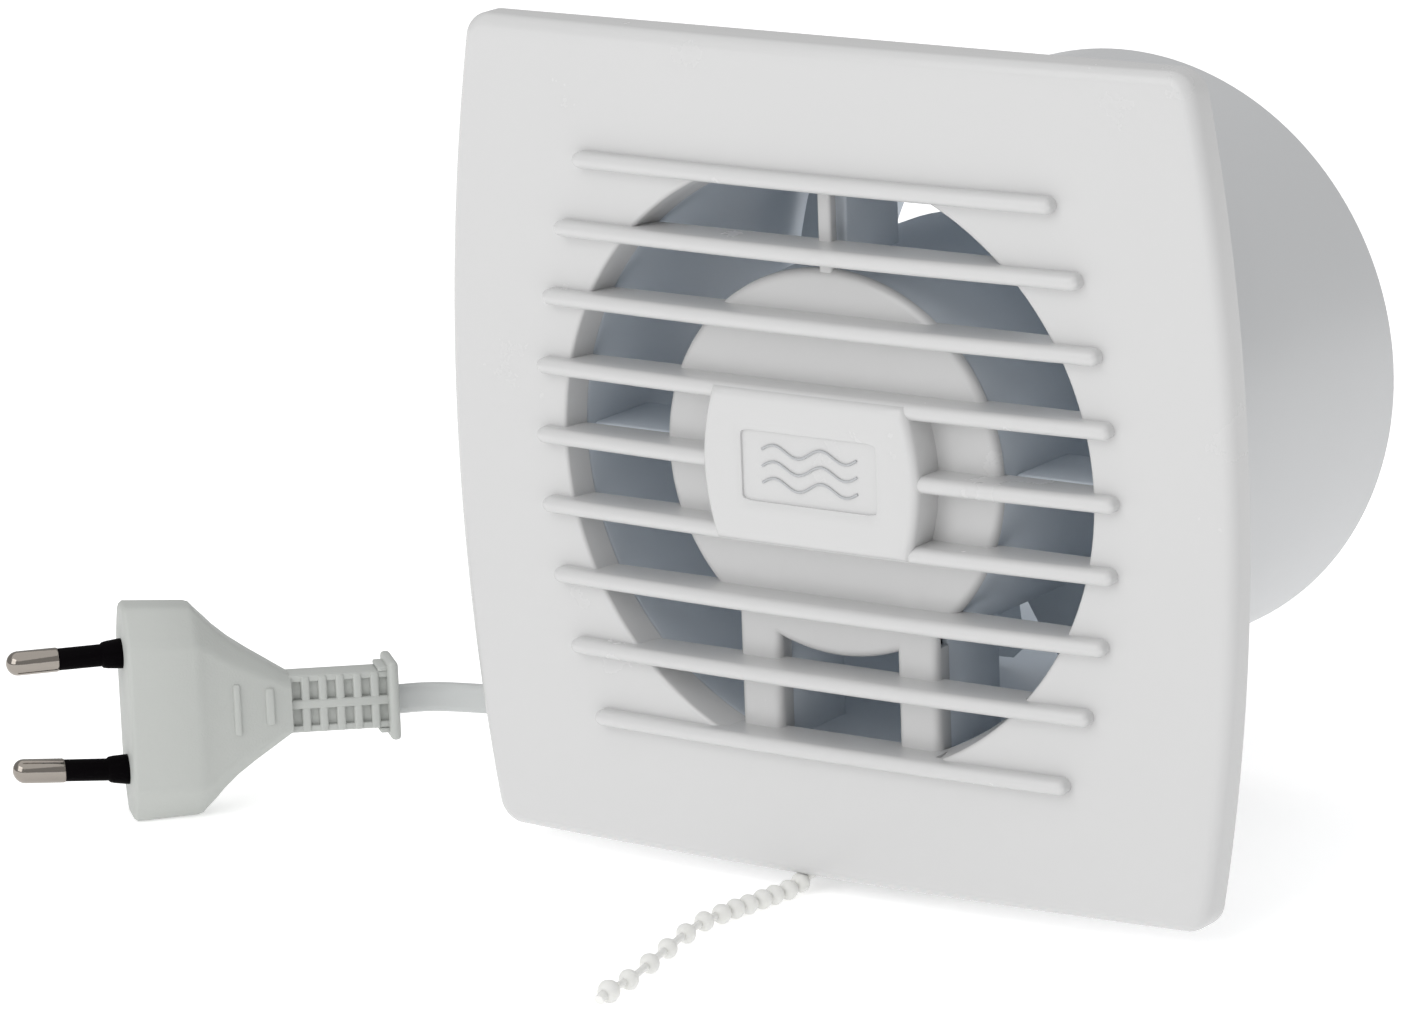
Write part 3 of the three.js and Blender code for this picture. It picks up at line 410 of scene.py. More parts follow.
def flat_section(n=28):
    """Two cores side by side with a shallow groove between them."""
    out = []
    for i in range(n):
        across, height = squared_oval(2 * math.pi * i / n, CORD_T / 2, CORD_W / 2, 0.75, 0.6)
        if abs(across) > 0.3:
            groove = GROOVE_DEPTH * math.exp(-(height / GROOVE_WIDTH) ** 2)
            across -= math.copysign(groove, across)
        out.append((across, height))
    return out


lead_path, lead_length = resample(smooth_path(lead_route()), LEAD_STEP)
mains_lead = make("mains_lead", [sweep(lead_path, flat_section())], [cord_grey], "fan_body",
                  ("mains_lead_fan", "cord_coil", "mains_lead_plug"), sharp=60)

TIE_HALF_ACROSS, TIE_HALF_UP, TIE_HALF_WIDTH, TIE_THICK = 5.3, 5.4, 2.0, 0.35
TIE_LOWEST = -5.02


def tie_loop(x, thick, n=40):
    """A squared loop round both layers of the coil, flattened where it meets the floor."""
    scale = 1 + thick / TIE_HALF_ACROSS
    middle_z = (LOWER_Z + UPPER_Z) / 2
    out = []
    for i in range(n):
        across, height = squared_oval(2 * math.pi * i / n, TIE_HALF_ACROSS, TIE_HALF_UP, 0.5, 0.5)
        y = COIL_Y + COIL_R + across * scale
        out.append((COIL_X + x, y, middle_z + max(height * scale, TIE_LOWEST)))
    return out


tie_loops = [tie_loop(-TIE_HALF_WIDTH, 0.0), tie_loop(-TIE_HALF_WIDTH, TIE_THICK),
             tie_loop(TIE_HALF_WIDTH, TIE_THICK), tie_loop(TIE_HALF_WIDTH, 0.0)]
coil_tie = make("coil_tie", [rings(tie_loops, wrap=True)], [pin_black], "fan_body")

# ---------------------------------------------------------------- plug


def plug_at(along, across, height):
    """A point given along the plug from its front, across its thickness, and up."""
    return tuple(PLUG_FRONT + PLUG_DIR * along + PLUG_SIDE * across + UP * height)


def plug_ring(along, half_t, half_h, flat, tip, soft=0.9, steps=4):
    """Six-sided outline: broad sides up to flat, then sloping in to a narrow edge of half width tip."""
    corners = [(half_t, -flat), (half_t, flat), (tip, half_h), (-tip, half_h), (-half_t, flat),
               (-half_t, -flat), (-tip, -half_h), (tip, -half_h)]
    out = []
    n = len(corners)
    for k in range(n):
        p0, p1, p2 = (np.array(corners[(k + d) % n], float) for d in (-1, 0, 1))
        a, b = p0 - p1, p2 - p1
        la, lb = np.linalg.norm(a), np.linalg.norm(b)
        s, e = p1 + a / la * min(soft, 0.45 * la), p1 + b / lb * min(soft, 0.45 * lb)
        for i in range(steps + 1):
            t = i / steps
            out.append((1 - t) ** 2 * s + 2 * t * (1 - t) * p1 + t ** 2 * e)
    return [plug_at(along, q[0], q[1]) for q in out]


def plug_block(along, across, height, bevel=0.3):
    """A rounded block between two values along, across and up the plug."""
    points, faces, which = block(*zip(along, across, height), bevel)
    return [plug_at(*p) for p in points], faces, which


def about(middle, half):
    """The two ends of a span, from its middle."""
    return middle - half, middle + half


TAPER_START, TAPER_LENGTH = 12.2, 16.4
TAPER_HALF_T, TAPER_LOSS = 6.3, 2.9
TAPER_FLAT_SHARE, TAPER_EDGE_SHARE = 0.72, 0.55


def taper_half_t(along):
    """Half the taper's thickness at a distance from the plug's front."""
    return TAPER_HALF_T - TAPER_LOSS * ((along - TAPER_START) / TAPER_LENGTH)


# Distance from the front, half thickness, half height, broad side's half height, edge's half width.
HEAD_RINGS = ((0.0, 5.9, 17.15, 11.6, 2.4), (0.25, 6.5, 17.65, 12.0, 2.7), (0.8, 6.85, 18.0, 12.3, 2.9),
              (10.6, 6.85, 17.5, 12.1, 2.9), (11.5, 6.75, 17.2, 12.0, 2.9), (12.2, 6.5, 16.4, 11.6, 2.9))
# Distance from the front, half height.
TAPER_RINGS = ((13.6, 14.9), (15.2, 13.2), (17.6, 11.1), (20.6, 9.0), (23.4, 7.2), (25.4, 5.9), (26.8, 5.0))
# Distance from the front, half length, half height of the grips on the taper's sides.
GRIPS = ((17.6, 0.6, 4.3), (23.1, 0.75, 3.1))
GRIP_Z, GRIP_HALF_T = 0.5, 0.45

RELIEF_START, RELIEF_END, RIB_PITCH, RIB_COUNT = 26.4, 43.3, 2.86, 6
SPINE_ACROSS, SPINE_HALF_T, SPINE_HALF_H = 2.25, 0.55, 0.75
BAR_HALF_T, BAR_Z, BAR_BELOW, BAR_ABOVE = 2.4, 4.25, 0.5, 0.6
CORE_HALF_T, CORE_HALF_H = 1.65, 3.9
RIB_BEFORE, RIB_AFTER, RIB_HALF_T, RIB_HALF_H = 0.7, 0.75, 2.7, 4.75
COLLAR_LENGTH, COLLAR_HALF_T, COLLAR_HALF_H = 1.7, 4.2, 6.6
STEP_START, STEP_END, STEP_Z, STEP_HALF_H = 3.2, 1.5, 5.2, 0.4


def relief_parts():
    """Strain relief: a core, spines, outer bars and cross ribs leave two rows of slots."""
    relief = (RELIEF_START, RELIEF_END)
    parts = []
    for side in (-1, 1):
        across = about(side * SPINE_ACROSS, SPINE_HALF_T)
        parts.append(plug_block(relief, across, about(0, SPINE_HALF_H)))
    for height in (-BAR_Z, BAR_Z):
        parts.append(plug_block(relief, about(0, BAR_HALF_T), (height - BAR_BELOW, height + BAR_ABOVE), 0.2))
    parts.append(plug_block(relief, about(0, CORE_HALF_T), about(0, CORE_HALF_H)))
    for i in range(RIB_COUNT):
        a = RELIEF_START + i * RIB_PITCH
        rib = (a - RIB_BEFORE, a + RIB_AFTER)
        parts.append(plug_block(rib, about(0, RIB_HALF_T), about(0, RIB_HALF_H), 0.4))
    collar = (PLUG_LENGTH - COLLAR_LENGTH, PLUG_LENGTH)
    parts.append(plug_block(collar, about(0, COLLAR_HALF_T), about(0, COLLAR_HALF_H), 0.7))
    step = (PLUG_LENGTH - STEP_START, PLUG_LENGTH - STEP_END)
    for side in (-1, 1):
        parts.append(plug_block(step, about(0, RIB_HALF_T), about(side * STEP_Z, STEP_HALF_H)))
    return parts


plug_loops = [plug_ring(*ring) for ring in HEAD_RINGS]
for along, half_h in TAPER_RINGS:
    half_t = taper_half_t(along)
    plug_loops.append(plug_ring(along, half_t, half_h, half_h * TAPER_FLAT_SHARE, half_t * TAPER_EDGE_SHARE))
plug_parts = [rings(plug_loops)] + relief_parts()
for along, half_length, half_h in GRIPS:
    for side in (-1, 1):
        across = about(side * taper_half_t(along), GRIP_HALF_T)
        plug_parts.append(plug_block(about(along, half_length), across, about(GRIP_Z, half_h), 0.4))
plug_body = make("plug_shell", plug_parts, [plug_grey], "fan_body", ("plug_body",), sharp=40)

PIN_HALF_SPACING, PIN_SPREAD = 9.75, 0.042
PIN_R, PIN_ROUND_START, PIN_ROUND_LENGTH = 2.0, -16.9, 1.9
# Distance from the plug's front, radius.
PIN_PROFILE = ((-10.4, 1.9), (-10.65, PIN_R), (PIN_ROUND_START, PIN_R))
SLEEVE_PROFILE = ((1.5, 2.45), (-0.4, 2.45), (-2.4, 2.25), (-3.1, 2.1), (-3.4, 1.82), (-10.5, 1.8),
                  (-10.7, 1.7))


def pin_loop(sign, along, radius, n=32):
    """A circle round a pin; the pins lean towards each other at their tips."""
    height = sign * (PIN_HALF_SPACING + along * PIN_SPREAD)
    angles = [2 * math.pi * i / n for i in range(n)]
    return [plug_at(along, radius * math.cos(a), height + radius * math.sin(a)) for a in angles]


for sign, name in ((-1, "lower"), (1, "upper")):
    sleeve = [pin_loop(sign, along, radius) for along, radius in SLEEVE_PROFILE]
    make(f"pin_sleeve_{name}_skin", [rings(sleeve)], [pin_black], "fan_body",
                            (f"pin_sleeve_{name}",), sharp=30)
    tip = [pin_loop(sign, along, radius) for along, radius in PIN_PROFILE]
    for a in quarter_turn(6, 1):
        along = PIN_ROUND_START - PIN_ROUND_LENGTH * math.sin(a)
        tip.append(pin_loop(sign, along, max(0.15, PIN_R * math.cos(a))))
    # The pins take the nickel darkened as a painted reflection.
    make(f"plug_pin_{name}_metal", [rings(tip)], [nickel], "fan_body",
                            (f"plug_pin_{name}",), sharp=30)

# ---------------------------------------------------------------- pull chain

SWITCH_X, CHAIN_Y, BEAD_R = -6.5, -3.3, 1.58
CHAIN_Z = FLOOR_Z + BEAD_R
CHAIN_TOP, CHAIN_BEND_R = 5.7, 6
FIRST_BEAD, FIRST_GAP, EVEN_UNTIL, GAP_GROWTH, WIDEST_GAP = 1.0, 3.05, 24, 1.5, 7.8
END_CLEARANCE = 2.5
LINK_R, CHAIN_STEP = 0.6, 0.4
END_BEAD_R, END_BEAD_STRETCH, END_BEAD_OFFSET = 1.75, 1.05, 2.4
# Where the tail behind the end bead passes, and how far it has dropped there.
TAIL_AT, TAIL_DROP, TAIL_R = (1.2, 1.8, 2.4, 3.0), (0, 0.1, 0.3, 0.5), 0.8


def chain_route():
    """Down out of the panel, forward in a quarter circle, then over the floor."""
    route = [(SWITCH_X, CHAIN_Y, CHAIN_Z + CHAIN_TOP)]
    for a in quarter_turn(6, 1):
        y = CHAIN_Y - CHAIN_BEND_R * (1 - math.cos(a))
        route.append((SWITCH_X, y, CHAIN_Z + CHAIN_BEND_R * (1 - math.sin(a))))
    floor_run = ((-7.2, -14), (-7.9, -19), (-8.8, -24), (-9.2, -30), (-8.2, -36.5), (-6.6, -43.5),
                 (-4.9, -50.5), (-3.4, -57), (-2.8, -62.4))
    return route + [(x, y, CHAIN_Z) for x, y in floor_run]


def bead(centre, direction, radius=BEAD_R, stretch=1.0):
    """A ball with a fine moulding seam round its middle."""
    t = np.array(direction, float)
    t = t / np.linalg.norm(t)
    side, lift = upright(t)
    bands, sides, seam = 14, 20, 1.02
    loops = []
    for i in range(1, bands):
        a = math.pi * i / bands
        r = radius * math.sin(a) * (seam if i == bands // 2 else 1.0)
        c = centre - t * radius * stretch * math.cos(a)
        loop = []
        for k in range(sides):
            b = 2 * math.pi * k / sides
            loop.append(tuple(c + side * r * math.cos(b) + lift * r * math.sin(b)))
        loops.append(loop)
    return rings(loops)


def chain_beads(path):
    """Beads along the path, further apart towards its end."""
    along = distances(path)
    spot, gap = FIRST_BEAD, FIRST_GAP
    beads = []
    while spot < along[-1] - END_CLEARANCE:
        k = min(max(int(np.searchsorted(along, spot)), 1), len(path) - 2)
        beads.append(bead(path[k], path[k + 1] - path[k - 1]))
        if spot > EVEN_UNTIL:
            gap = min(WIDEST_GAP, gap + GAP_GROWTH)
        spot += gap
    return beads


chain_path, chain_length = resample(smooth_path(chain_route()), CHAIN_STEP)
chain_parts = chain_beads(chain_path) + [round_sweep(chain_path, LINK_R)]
pull_chain = make("bead_chain", chain_parts, [chain_white], "pull_cord", ("pull_chain",),
                  sharp=60)
end_dir = chain_path[-1] - chain_path[-4]
end_dir = end_dir / np.linalg.norm(end_dir)
end_centre = chain_path[-1] + end_dir * END_BEAD_OFFSET
tail = np.array([end_centre + end_dir * t for t in TAIL_AT])
tail[:, 2] -= np.array(TAIL_DROP)
end_parts = [bead(end_centre, end_dir, END_BEAD_R, END_BEAD_STRETCH), round_sweep(tail, TAIL_R)]
chain_end = make("chain_end", end_parts, [chain_white], "pull_cord", ("chain_end_bead",),
                 sharp=60)

# ---------------------------------------------------------------- front cover

HALF_H, HALF_W, BOW = 65.5, 71.1, 6.3
FACE_Y, SAG = -8.5, 3.2
PANEL_T, EDGE_R, CORNER_R = 2.0, 2.0, 4.5
GRILLE_R, GRILLE_LIP_R, COLLAR_T, COLLAR_Y = 47.8, 0.7, 1.4, -2.6
NOTCH_HALF_W, NOTCH_Y, NOTCH_TOP_Z = 2.4, -5.9, -60
SLAT_COUNT, SLAT_PITCH, SLAT_T, SLAT_PROUD = 9, 11.13, 2.6, 2.4
SLAT_HALF_LENGTH, SLAT_ENDS_R = 52.4, 111
DISC_R, DISC_Y, DISC_BACK_Y, DISC_EDGE_R = 30.4, -4.9, -3.2, 1.4
LEG_X, LEG_W, LEG_END_Z = 14.4, 7.4, -47.0
OPENING_HALF_H = 4 * SLAT_PITCH
BOSS_HALF_W, BOSS_BULGE, BOSS_PROUD, BOSS_EDGE_R, BOSS_OVERHANG = 19.5, 1.9, 3.1, 1.4, 0.9
TOP_RIB_HALF_W, TOP_RIB_FROM_Z, TOP_RIB_TO_Z = 1.2, 29, 48.3
LABEL_X, LABEL_Z, LABEL_HALF_W, LABEL_HALF_H = 0.25, 0.3, 12.2, 5.53


def face_y(x):
    """The panel's face is a shallow cylinder, furthest forward in the middle."""
    return FACE_Y + SAG * (x / HALF_W) ** 2


def outline(inset, side_n=26, corner_n=12, top_n=26):
    """The panel's outline: sides bowed outwards, straight top and bottom, rounded corners."""
    half_h = HALF_H - inset
    r = max(CORNER_R - inset, 0.5)

    def side_x(z):
        return HALF_W - inset - BOW * (z / HALF_H) ** 2

    slope = math.atan(2 * BOW / HALF_H)
    end_z = half_h - r + r * math.sin(slope)
    corner_x = side_x(end_z) - r * math.cos(slope)
    quarter = [(side_x(end_z * i / side_n), end_z * i / side_n) for i in range(side_n)]
    for i in range(corner_n + 1):
        a = slope + (math.pi / 2 - slope) * i / corner_n
        quarter.append((corner_x + r * math.cos(a), half_h - r + r * math.sin(a)))
    quarter += [(corner_x * (1 - i / top_n), half_h) for i in range(1, top_n + 1)]
    back = quarter[1:-1][::-1]
    return (quarter + [(-x, z) for x, z in back] + [(-quarter[0][0], 0.0)]
            + [(-x, -z) for x, z in quarter[1:]] + [(x, -z) for x, z in back])


def wall_edge(points, y):
    """The back edge of the side wall, notched below for the chain."""
    out = []
    for x, z in points:
        notched = z < NOTCH_TOP_Z and abs(x - SWITCH_X) < NOTCH_HALF_W
        out.append((x, NOTCH_Y if notched else y, z))
    return out


def panel_shell():
    """The panel: the opening's wall, the bowed face, the outer wall and the inside, as one shell."""
    angles = [math.atan2(z, x) for x, z in outline(EDGE_R)]

    def circle(radius, y=None, lift=0.0, cut=True):
        out = []
        for a in angles:
            # The end slats close the opening above and below.
            r = min(radius, OPENING_HALF_H / max(abs(math.sin(a)), 1e-6)) if cut else radius
            x, z = r * math.cos(a), r * math.sin(a)
            out.append((x, (face_y(x) + lift) if y is None else y, z))
        return out

    def edge(inset, lift):
        return [(x, face_y(x) + lift, z) for x, z in outline(inset)]

    # The opening's wall narrows towards the back, and has a rounded lip in front.
    narrow_back, narrow_middle, middle_y = 0.9, 0.35, -4.5
    loops = [circle(GRILLE_R - narrow_back, COLLAR_Y), circle(GRILLE_R - narrow_middle, middle_y)]
    for a in quarter_turn(4):
        lift = GRILLE_LIP_R * (1 - math.sin(a))
        loops.append(circle(GRILLE_R + GRILLE_LIP_R * (1 - math.cos(a)), None, lift))
    # The face, between the lip and the rounded outer edge.
    inner = circle(GRILLE_R + GRILLE_LIP_R)
    outer = edge(EDGE_R, 0.0)
    face_steps = 14
    for i in range(1, face_steps):
        t = i / face_steps
        loop = []
        for p, q in zip(inner, outer):
            x = mix(p[0], q[0], t)
            loop.append((x, face_y(x), mix(p[2], q[2], t)))
        loops.append(loop)
    for a in quarter_turn(6):
        loops.append(edge(EDGE_R * (1 - math.sin(a)), EDGE_R * (1 - math.cos(a))))
    # The outer wall's back edge, then the panel's inside and the collar round the opening.
    back_y, chamfer = -0.3, 0.45
    loops.append(wall_edge(outline(0), back_y - chamfer))
    loops.append(wall_edge(outline(chamfer), back_y))
    loops.append(wall_edge(outline(PANEL_T), back_y))
    loops.append(edge(PANEL_T, PANEL_T + 0.3))
    loops.append(edge(PANEL_T + 0.5, PANEL_T))
    loops.append(circle(GRILLE_R + COLLAR_T, None, PANEL_T, cut=False))
    loops.append(circle(GRILLE_R + COLLAR_T, COLLAR_Y, cut=False))
    return rings(loops, wrap=True)


def slat_nose(z, x0, x1, round_start=True, round_end=True):
    """A slat's round front from x0 to x1, standing out from the face, with rounded ends where asked."""
    half = SLAT_T / 2
    end_steps, middle_steps, round_steps = 8, 28, 12
    least_fill, end_drop, sunk = 0.12, 0.8, 1.0
    ends = [math.pi / 2 * i / end_steps for i in range(end_steps)]
    spots = []
    if round_start:
        spots += [(x0 + half * (1 - math.cos(a)), math.sin(a)) for a in ends]
    a0 = x0 + half if round_start else x0
    a1 = x1 - half if round_end else x1
    spots += [(mix(a0, a1, i / middle_steps), 1.0) for i in range(middle_steps + 1)]
    if round_end:
        spots += [(x1 - half * (1 - math.cos(a)), math.sin(a)) for a in reversed(ends)]
    loops = []
    for x, fill in spots:
        fill = max(fill, least_fill)
        top = face_y(x) - SLAT_PROUD + end_drop * (1 - fill)
        width = half * fill
        back = face_y(x) + sunk
        loop = [(x, back, z + width), (x, top + width, z + width)]
        for i in range(1, round_steps):
            a = math.pi * i / round_steps
            loop.append((x, top + width - width * math.sin(a), z + width * math.cos(a)))
        loop += [(x, top + width, z - width), (x, back, z - width)]
        loops.append(loop)
    return rings(loops)


def slat_web(z):
    """The plate behind a slat, with a flat upper face and a lower face that slopes up towards the back."""
    overlap, behind_nose, steps = 0.6, 1.2, 30
    reach = math.sqrt((GRILLE_R + overlap) ** 2 - z * z)
    top, front, back, soft = 1.3, 1.28, 0.85, 0.3
    loops = []
    for i in range(steps + 1):
        x = -reach + 2 * reach * i / steps
        y0 = face_y(x) - SLAT_PROUD + behind_nose
        y1 = COLLAR_Y
        middle = (y0 + y1) / 2
        section = [(y0, front), (middle, top), (y1 - soft, top), (y1, top - soft), (y1, soft - back),
                   (y1 - soft, -back), (middle, -(front + back) / 2), (y0, -front)]
        loops.append([(x, y, z + height) for y, height in section])
    return rings(loops)


def boss_loop(shrink, y, n=16):
    """The hub's outline: straight top and bottom on the slats, sides bowed outwards."""
    half_h = SLAT_PITCH + BOSS_OVERHANG - shrink
    right = []
    for i in range(n + 1):
        z = -half_h + 2 * half_h * i / n
        right.append((BOSS_HALF_W - BOSS_BULGE * (z / SLAT_PITCH) ** 2 - shrink, z))
    top = [(right[-1][0] * (1 - 2 * i / n), half_h) for i in range(1, n)]
    left = [(-x, z) for x, z in reversed(right)]
    bottom = [(-right[0][0] * (1 - 2 * i / n), -half_h) for i in range(1, n)]
    return [(x, y(x) if callable(y) else y, z) for x, z in right + top + left + bottom]


def rect_loop(half_w, half_h, r, n=16):
    """A rounded rectangle's (x, z), with the same count and order of points as boss_loop."""
    cx, cz = half_w - r, half_h - r

    def pull(x, z):
        dx, dz = abs(x) - cx, abs(z) - cz
        if dx <= 0 or dz <= 0:
            return x, z
        k = r / math.hypot(dx, dz)
        return math.copysign(cx + dx * k, x), math.copysign(cz + dz * k, z)

    pts = [(half_w, -half_h + 2 * half_h * i / n) for i in range(n + 1)]
    pts += [(half_w * (1 - 2 * i / n), half_h) for i in range(1, n)]
    pts += [(-half_w, half_h - 2 * half_h * i / n) for i in range(n + 1)]
    pts += [(-half_w * (1 - 2 * i / n), -half_h) for i in range(1, n)]
    return [pull(x, z) for x, z in pts]


def boss_front(x):
    return face_y(x) - BOSS_PROUD


def hub_boss():
    """The raised boss in the middle, with a shallow recess in its front."""
    loops = [boss_loop(0.0, DISC_Y + 0.8)]
    for a in quarter_turn(7):
        lift = BOSS_EDGE_R * (1 - math.sin(a))
        loops.append(boss_loop(BOSS_EDGE_R * (1 - math.cos(a)), lambda x, lift=lift: boss_front(x) + lift))

    def recess(grow, r, lift):
        loop = rect_loop(LABEL_HALF_W + grow, LABEL_HALF_H + grow, r)
        return [(x + LABEL_X, boss_front(x + LABEL_X) + lift, z + LABEL_Z) for x, z in loop]

    outer = boss_loop(BOSS_EDGE_R, boss_front)
    inner = recess(0.25, 1.0, 0.0)
    for t in (0.33, 0.66):
        mixed = []
        for p, q in zip(outer, inner):
            x = mix(p[0], q[0], t)
            mixed.append((x, boss_front(x), mix(p[2], q[2], t)))
        loops.append(mixed)
    loops += [inner, recess(0.05, 0.9, 0.12), recess(0.0, 0.85, 0.5), recess(-0.3, 0.7, 0.52)]
    return rings(loops, (False, True))


def waves():
    """Three raised air waves on the floor of the hub's recess."""
    pitch, half_length, height, periods, thread_r, sunk = 2.6, 8.6, 0.85, 2, 0.2, 0.47
    steps = 48
    parts = []
    for row in (-pitch, 0.0, pitch):
        pts = []
        for i in range(steps + 1):
            x = LABEL_X + half_length * (2 * i / steps - 1)
            z = LABEL_Z + row + height * math.sin(i / steps * 2 * periods * math.pi)
            pts.append((x, boss_front(x) + sunk, z))
        parts.append(round_sweep(np.array(pts), thread_r, which=1))
    return parts


def disc_loop(inset, y):
    """The disc with its two legs as one outline, drawn in by inset."""
    r = DISC_R - inset
    outer_x, inner_x = LEG_X + LEG_W / 2 - inset, LEG_X - LEG_W / 2 + inset
    outer_a, inner_a = -math.acos(outer_x / r), -math.acos(inner_x / r)
    outer_z, inner_z = -math.sqrt(r * r - outer_x ** 2), -math.sqrt(r * r - inner_x ** 2)
    upper_steps, lower_steps, leg_steps = 120, 24, 6
    pts = []

    def arc(start, turn_by, steps):
        for i in range(steps + 1):
            a = start + turn_by * i / steps
            pts.append((r * math.cos(a), r * math.sin(a)))

    def leg(first_x, last_x, first_z, last_z):
        """Down the leg's side at first_x, and up its side at last_x."""
        for i in range(1, leg_steps + 1):
            pts.append((first_x, mix(first_z, LEG_END_Z, i / leg_steps)))
        for i in range(leg_steps):
            pts.append((last_x, mix(LEG_END_Z, last_z, i / leg_steps)))

    arc(outer_a, math.pi - 2 * outer_a, upper_steps)
    leg(-outer_x, -inner_x, outer_z, inner_z)
    arc(-math.pi - inner_a, math.pi + 2 * inner_a, lower_steps)
    leg(inner_x, outer_x, inner_z, outer_z)
    return [(x, y, z) for x, z in pts]


def disc_part():
    """The disc in front of the motor cup, with a rounded front edge."""
    loops = [disc_loop(1.8, DISC_BACK_Y - 0.2), disc_loop(1.0, DISC_BACK_Y), disc_loop(0.2, DISC_BACK_Y)]
    for a in quarter_turn(6):
        loops.append(disc_loop(DISC_EDGE_R * (1 - math.cos(a)), DISC_Y + DISC_EDGE_R * (1 - math.sin(a))))
    return rings(loops)


def slats():
    """Nine slats with their webs; the middle one stops at the hub boss on both sides."""
    parts = []
    middle = SLAT_COUNT // 2
    boss_x = BOSS_HALF_W - 2
    for i in range(SLAT_COUNT):
        z = (middle - i) * SLAT_PITCH
        half_length = SLAT_HALF_LENGTH - (SLAT_ENDS_R - math.sqrt(SLAT_ENDS_R ** 2 - z ** 2))
        if i == middle:
            parts.append(slat_nose(z, -half_length, -boss_x, round_end=False))
            parts.append(slat_nose(z, boss_x, half_length, round_start=False))
        else:
            parts.append(slat_nose(z, -half_length, half_length))
        parts.append(slat_web(z))
    return parts


def leg_backs():
    """Blocks that thicken the disc's legs towards the struts behind them."""
    half_w, front_y, back_y, top_z = LEG_W / 2 - 0.2, -3.8, -0.75, -27.2
    parts = []
    for side in (-1, 1):
        x = side * LEG_X
        parts.append(block((x - half_w, front_y, LEG_END_Z + 0.3), (x + half_w, back_y, top_z), 0.3, 2))
    return parts


wave_grey = plastic("wave_grey", (0.42, 0.43, 0.44), 0.3, 0.05, 1100, 0.03)
top_rib = block((-TOP_RIB_HALF_W, DISC_Y + 0.3, TOP_RIB_FROM_Z),
                (TOP_RIB_HALF_W, COLLAR_Y, TOP_RIB_TO_Z), 0.5)
cover_parts = [panel_shell()] + slats() + [disc_part()] + leg_backs() + [top_rib, hub_boss()] + waves()
make("louvred_cover", cover_parts, [cover_white, wave_grey], "fan_body", ("front_cover",),
     sharp=38)

# ---------------------------------------------------------------- housing

SPIGOT_R, SPIGOT_T, SPIGOT_END = 49.0, 2.0, 83.6
SPIGOT_INNER_R = SPIGOT_R - SPIGOT_T
FLANGE_FRONT_Y = -2.2
CUP_R, CUP_T, CUP_FRONT_Y, CUP_BACK_Y = 31.2, 2.0, -2.9, 38.0
CUP_HOLE_R = 6
STRUT_FRONT_Y, STRUT_BACK_Y = -0.6, 14
SIDE_STRUT_X, SIDE_STRUT_HALF_LENGTH = 38.8, 8.2
TERMINAL_RIB_X, MOTOR_SCREW_X, WALL_SCREW_AT = 6.2, 13.2, 52


def flange():
    """The flange round the spigot, inside the cover's wall."""
    rim = outline(PANEL_T + 0.4)
    angles = [math.atan2(z, x) for x, z in rim]

    def circle(radius, y):
        return [(radius * math.cos(a), y, radius * math.sin(a)) for a in angles]

    def edge(points, y):
        return [(x, y, z) for x, z in points]

    loops = [circle(SPIGOT_R - 0.5, FLANGE_FRONT_Y), edge(outline(PANEL_T + 0.8), FLANGE_FRONT_Y),
             edge(rim, -1.9), edge(rim, -0.3), edge(outline(PANEL_T + 0.7), 0.0),
             circle(SPIGOT_R + 0.8, 0.0), circle(SPIGOT_R - 0.5, 0.8)]
    return rings(loops, wrap=True)


def spigot_parts():
    """The round duct: its outside with a small foot on the flange, and its inside."""
    rim = (SPIGOT_INNER_R + 0.8, SPIGOT_END)
    foot_r = SPIGOT_R + 1.0
    outside = rounded([rim, (SPIGOT_R, SPIGOT_END), (SPIGOT_R - 0.05, 1.6), (foot_r, 0.0), (foot_r, -1)], 0.7)
    inside = rounded([rim, (SPIGOT_INNER_R, SPIGOT_END), (SPIGOT_INNER_R, FLANGE_FRONT_Y),
                      (SPIGOT_INNER_R + 1.2, FLANGE_FRONT_Y)], 0.6)
    # The inside takes slot 1, the painted-shade copy of the housing plastic.
    return [lathe(outside), lathe(inside, which=1)]


def motor_cup():
    """The cup round the motor, open in front, with a hole in its back for the shaft."""
    floor_y = CUP_BACK_Y - CUP_T
    wall_r = CUP_R - CUP_T
    profile = rounded([(CUP_HOLE_R, floor_y), (wall_r, floor_y), (wall_r, CUP_FRONT_Y),
                       (CUP_R - 1.1, CUP_FRONT_Y), (CUP_R, STRUT_BACK_Y), (CUP_R, CUP_BACK_Y),
                       (CUP_HOLE_R, CUP_BACK_Y)], 0.3, 4)
    # The cup takes slot 1, the painted-shade copy of the housing plastic.
    return lathe(profile + [(CUP_HOLE_R, floor_y)], 96, which=1)


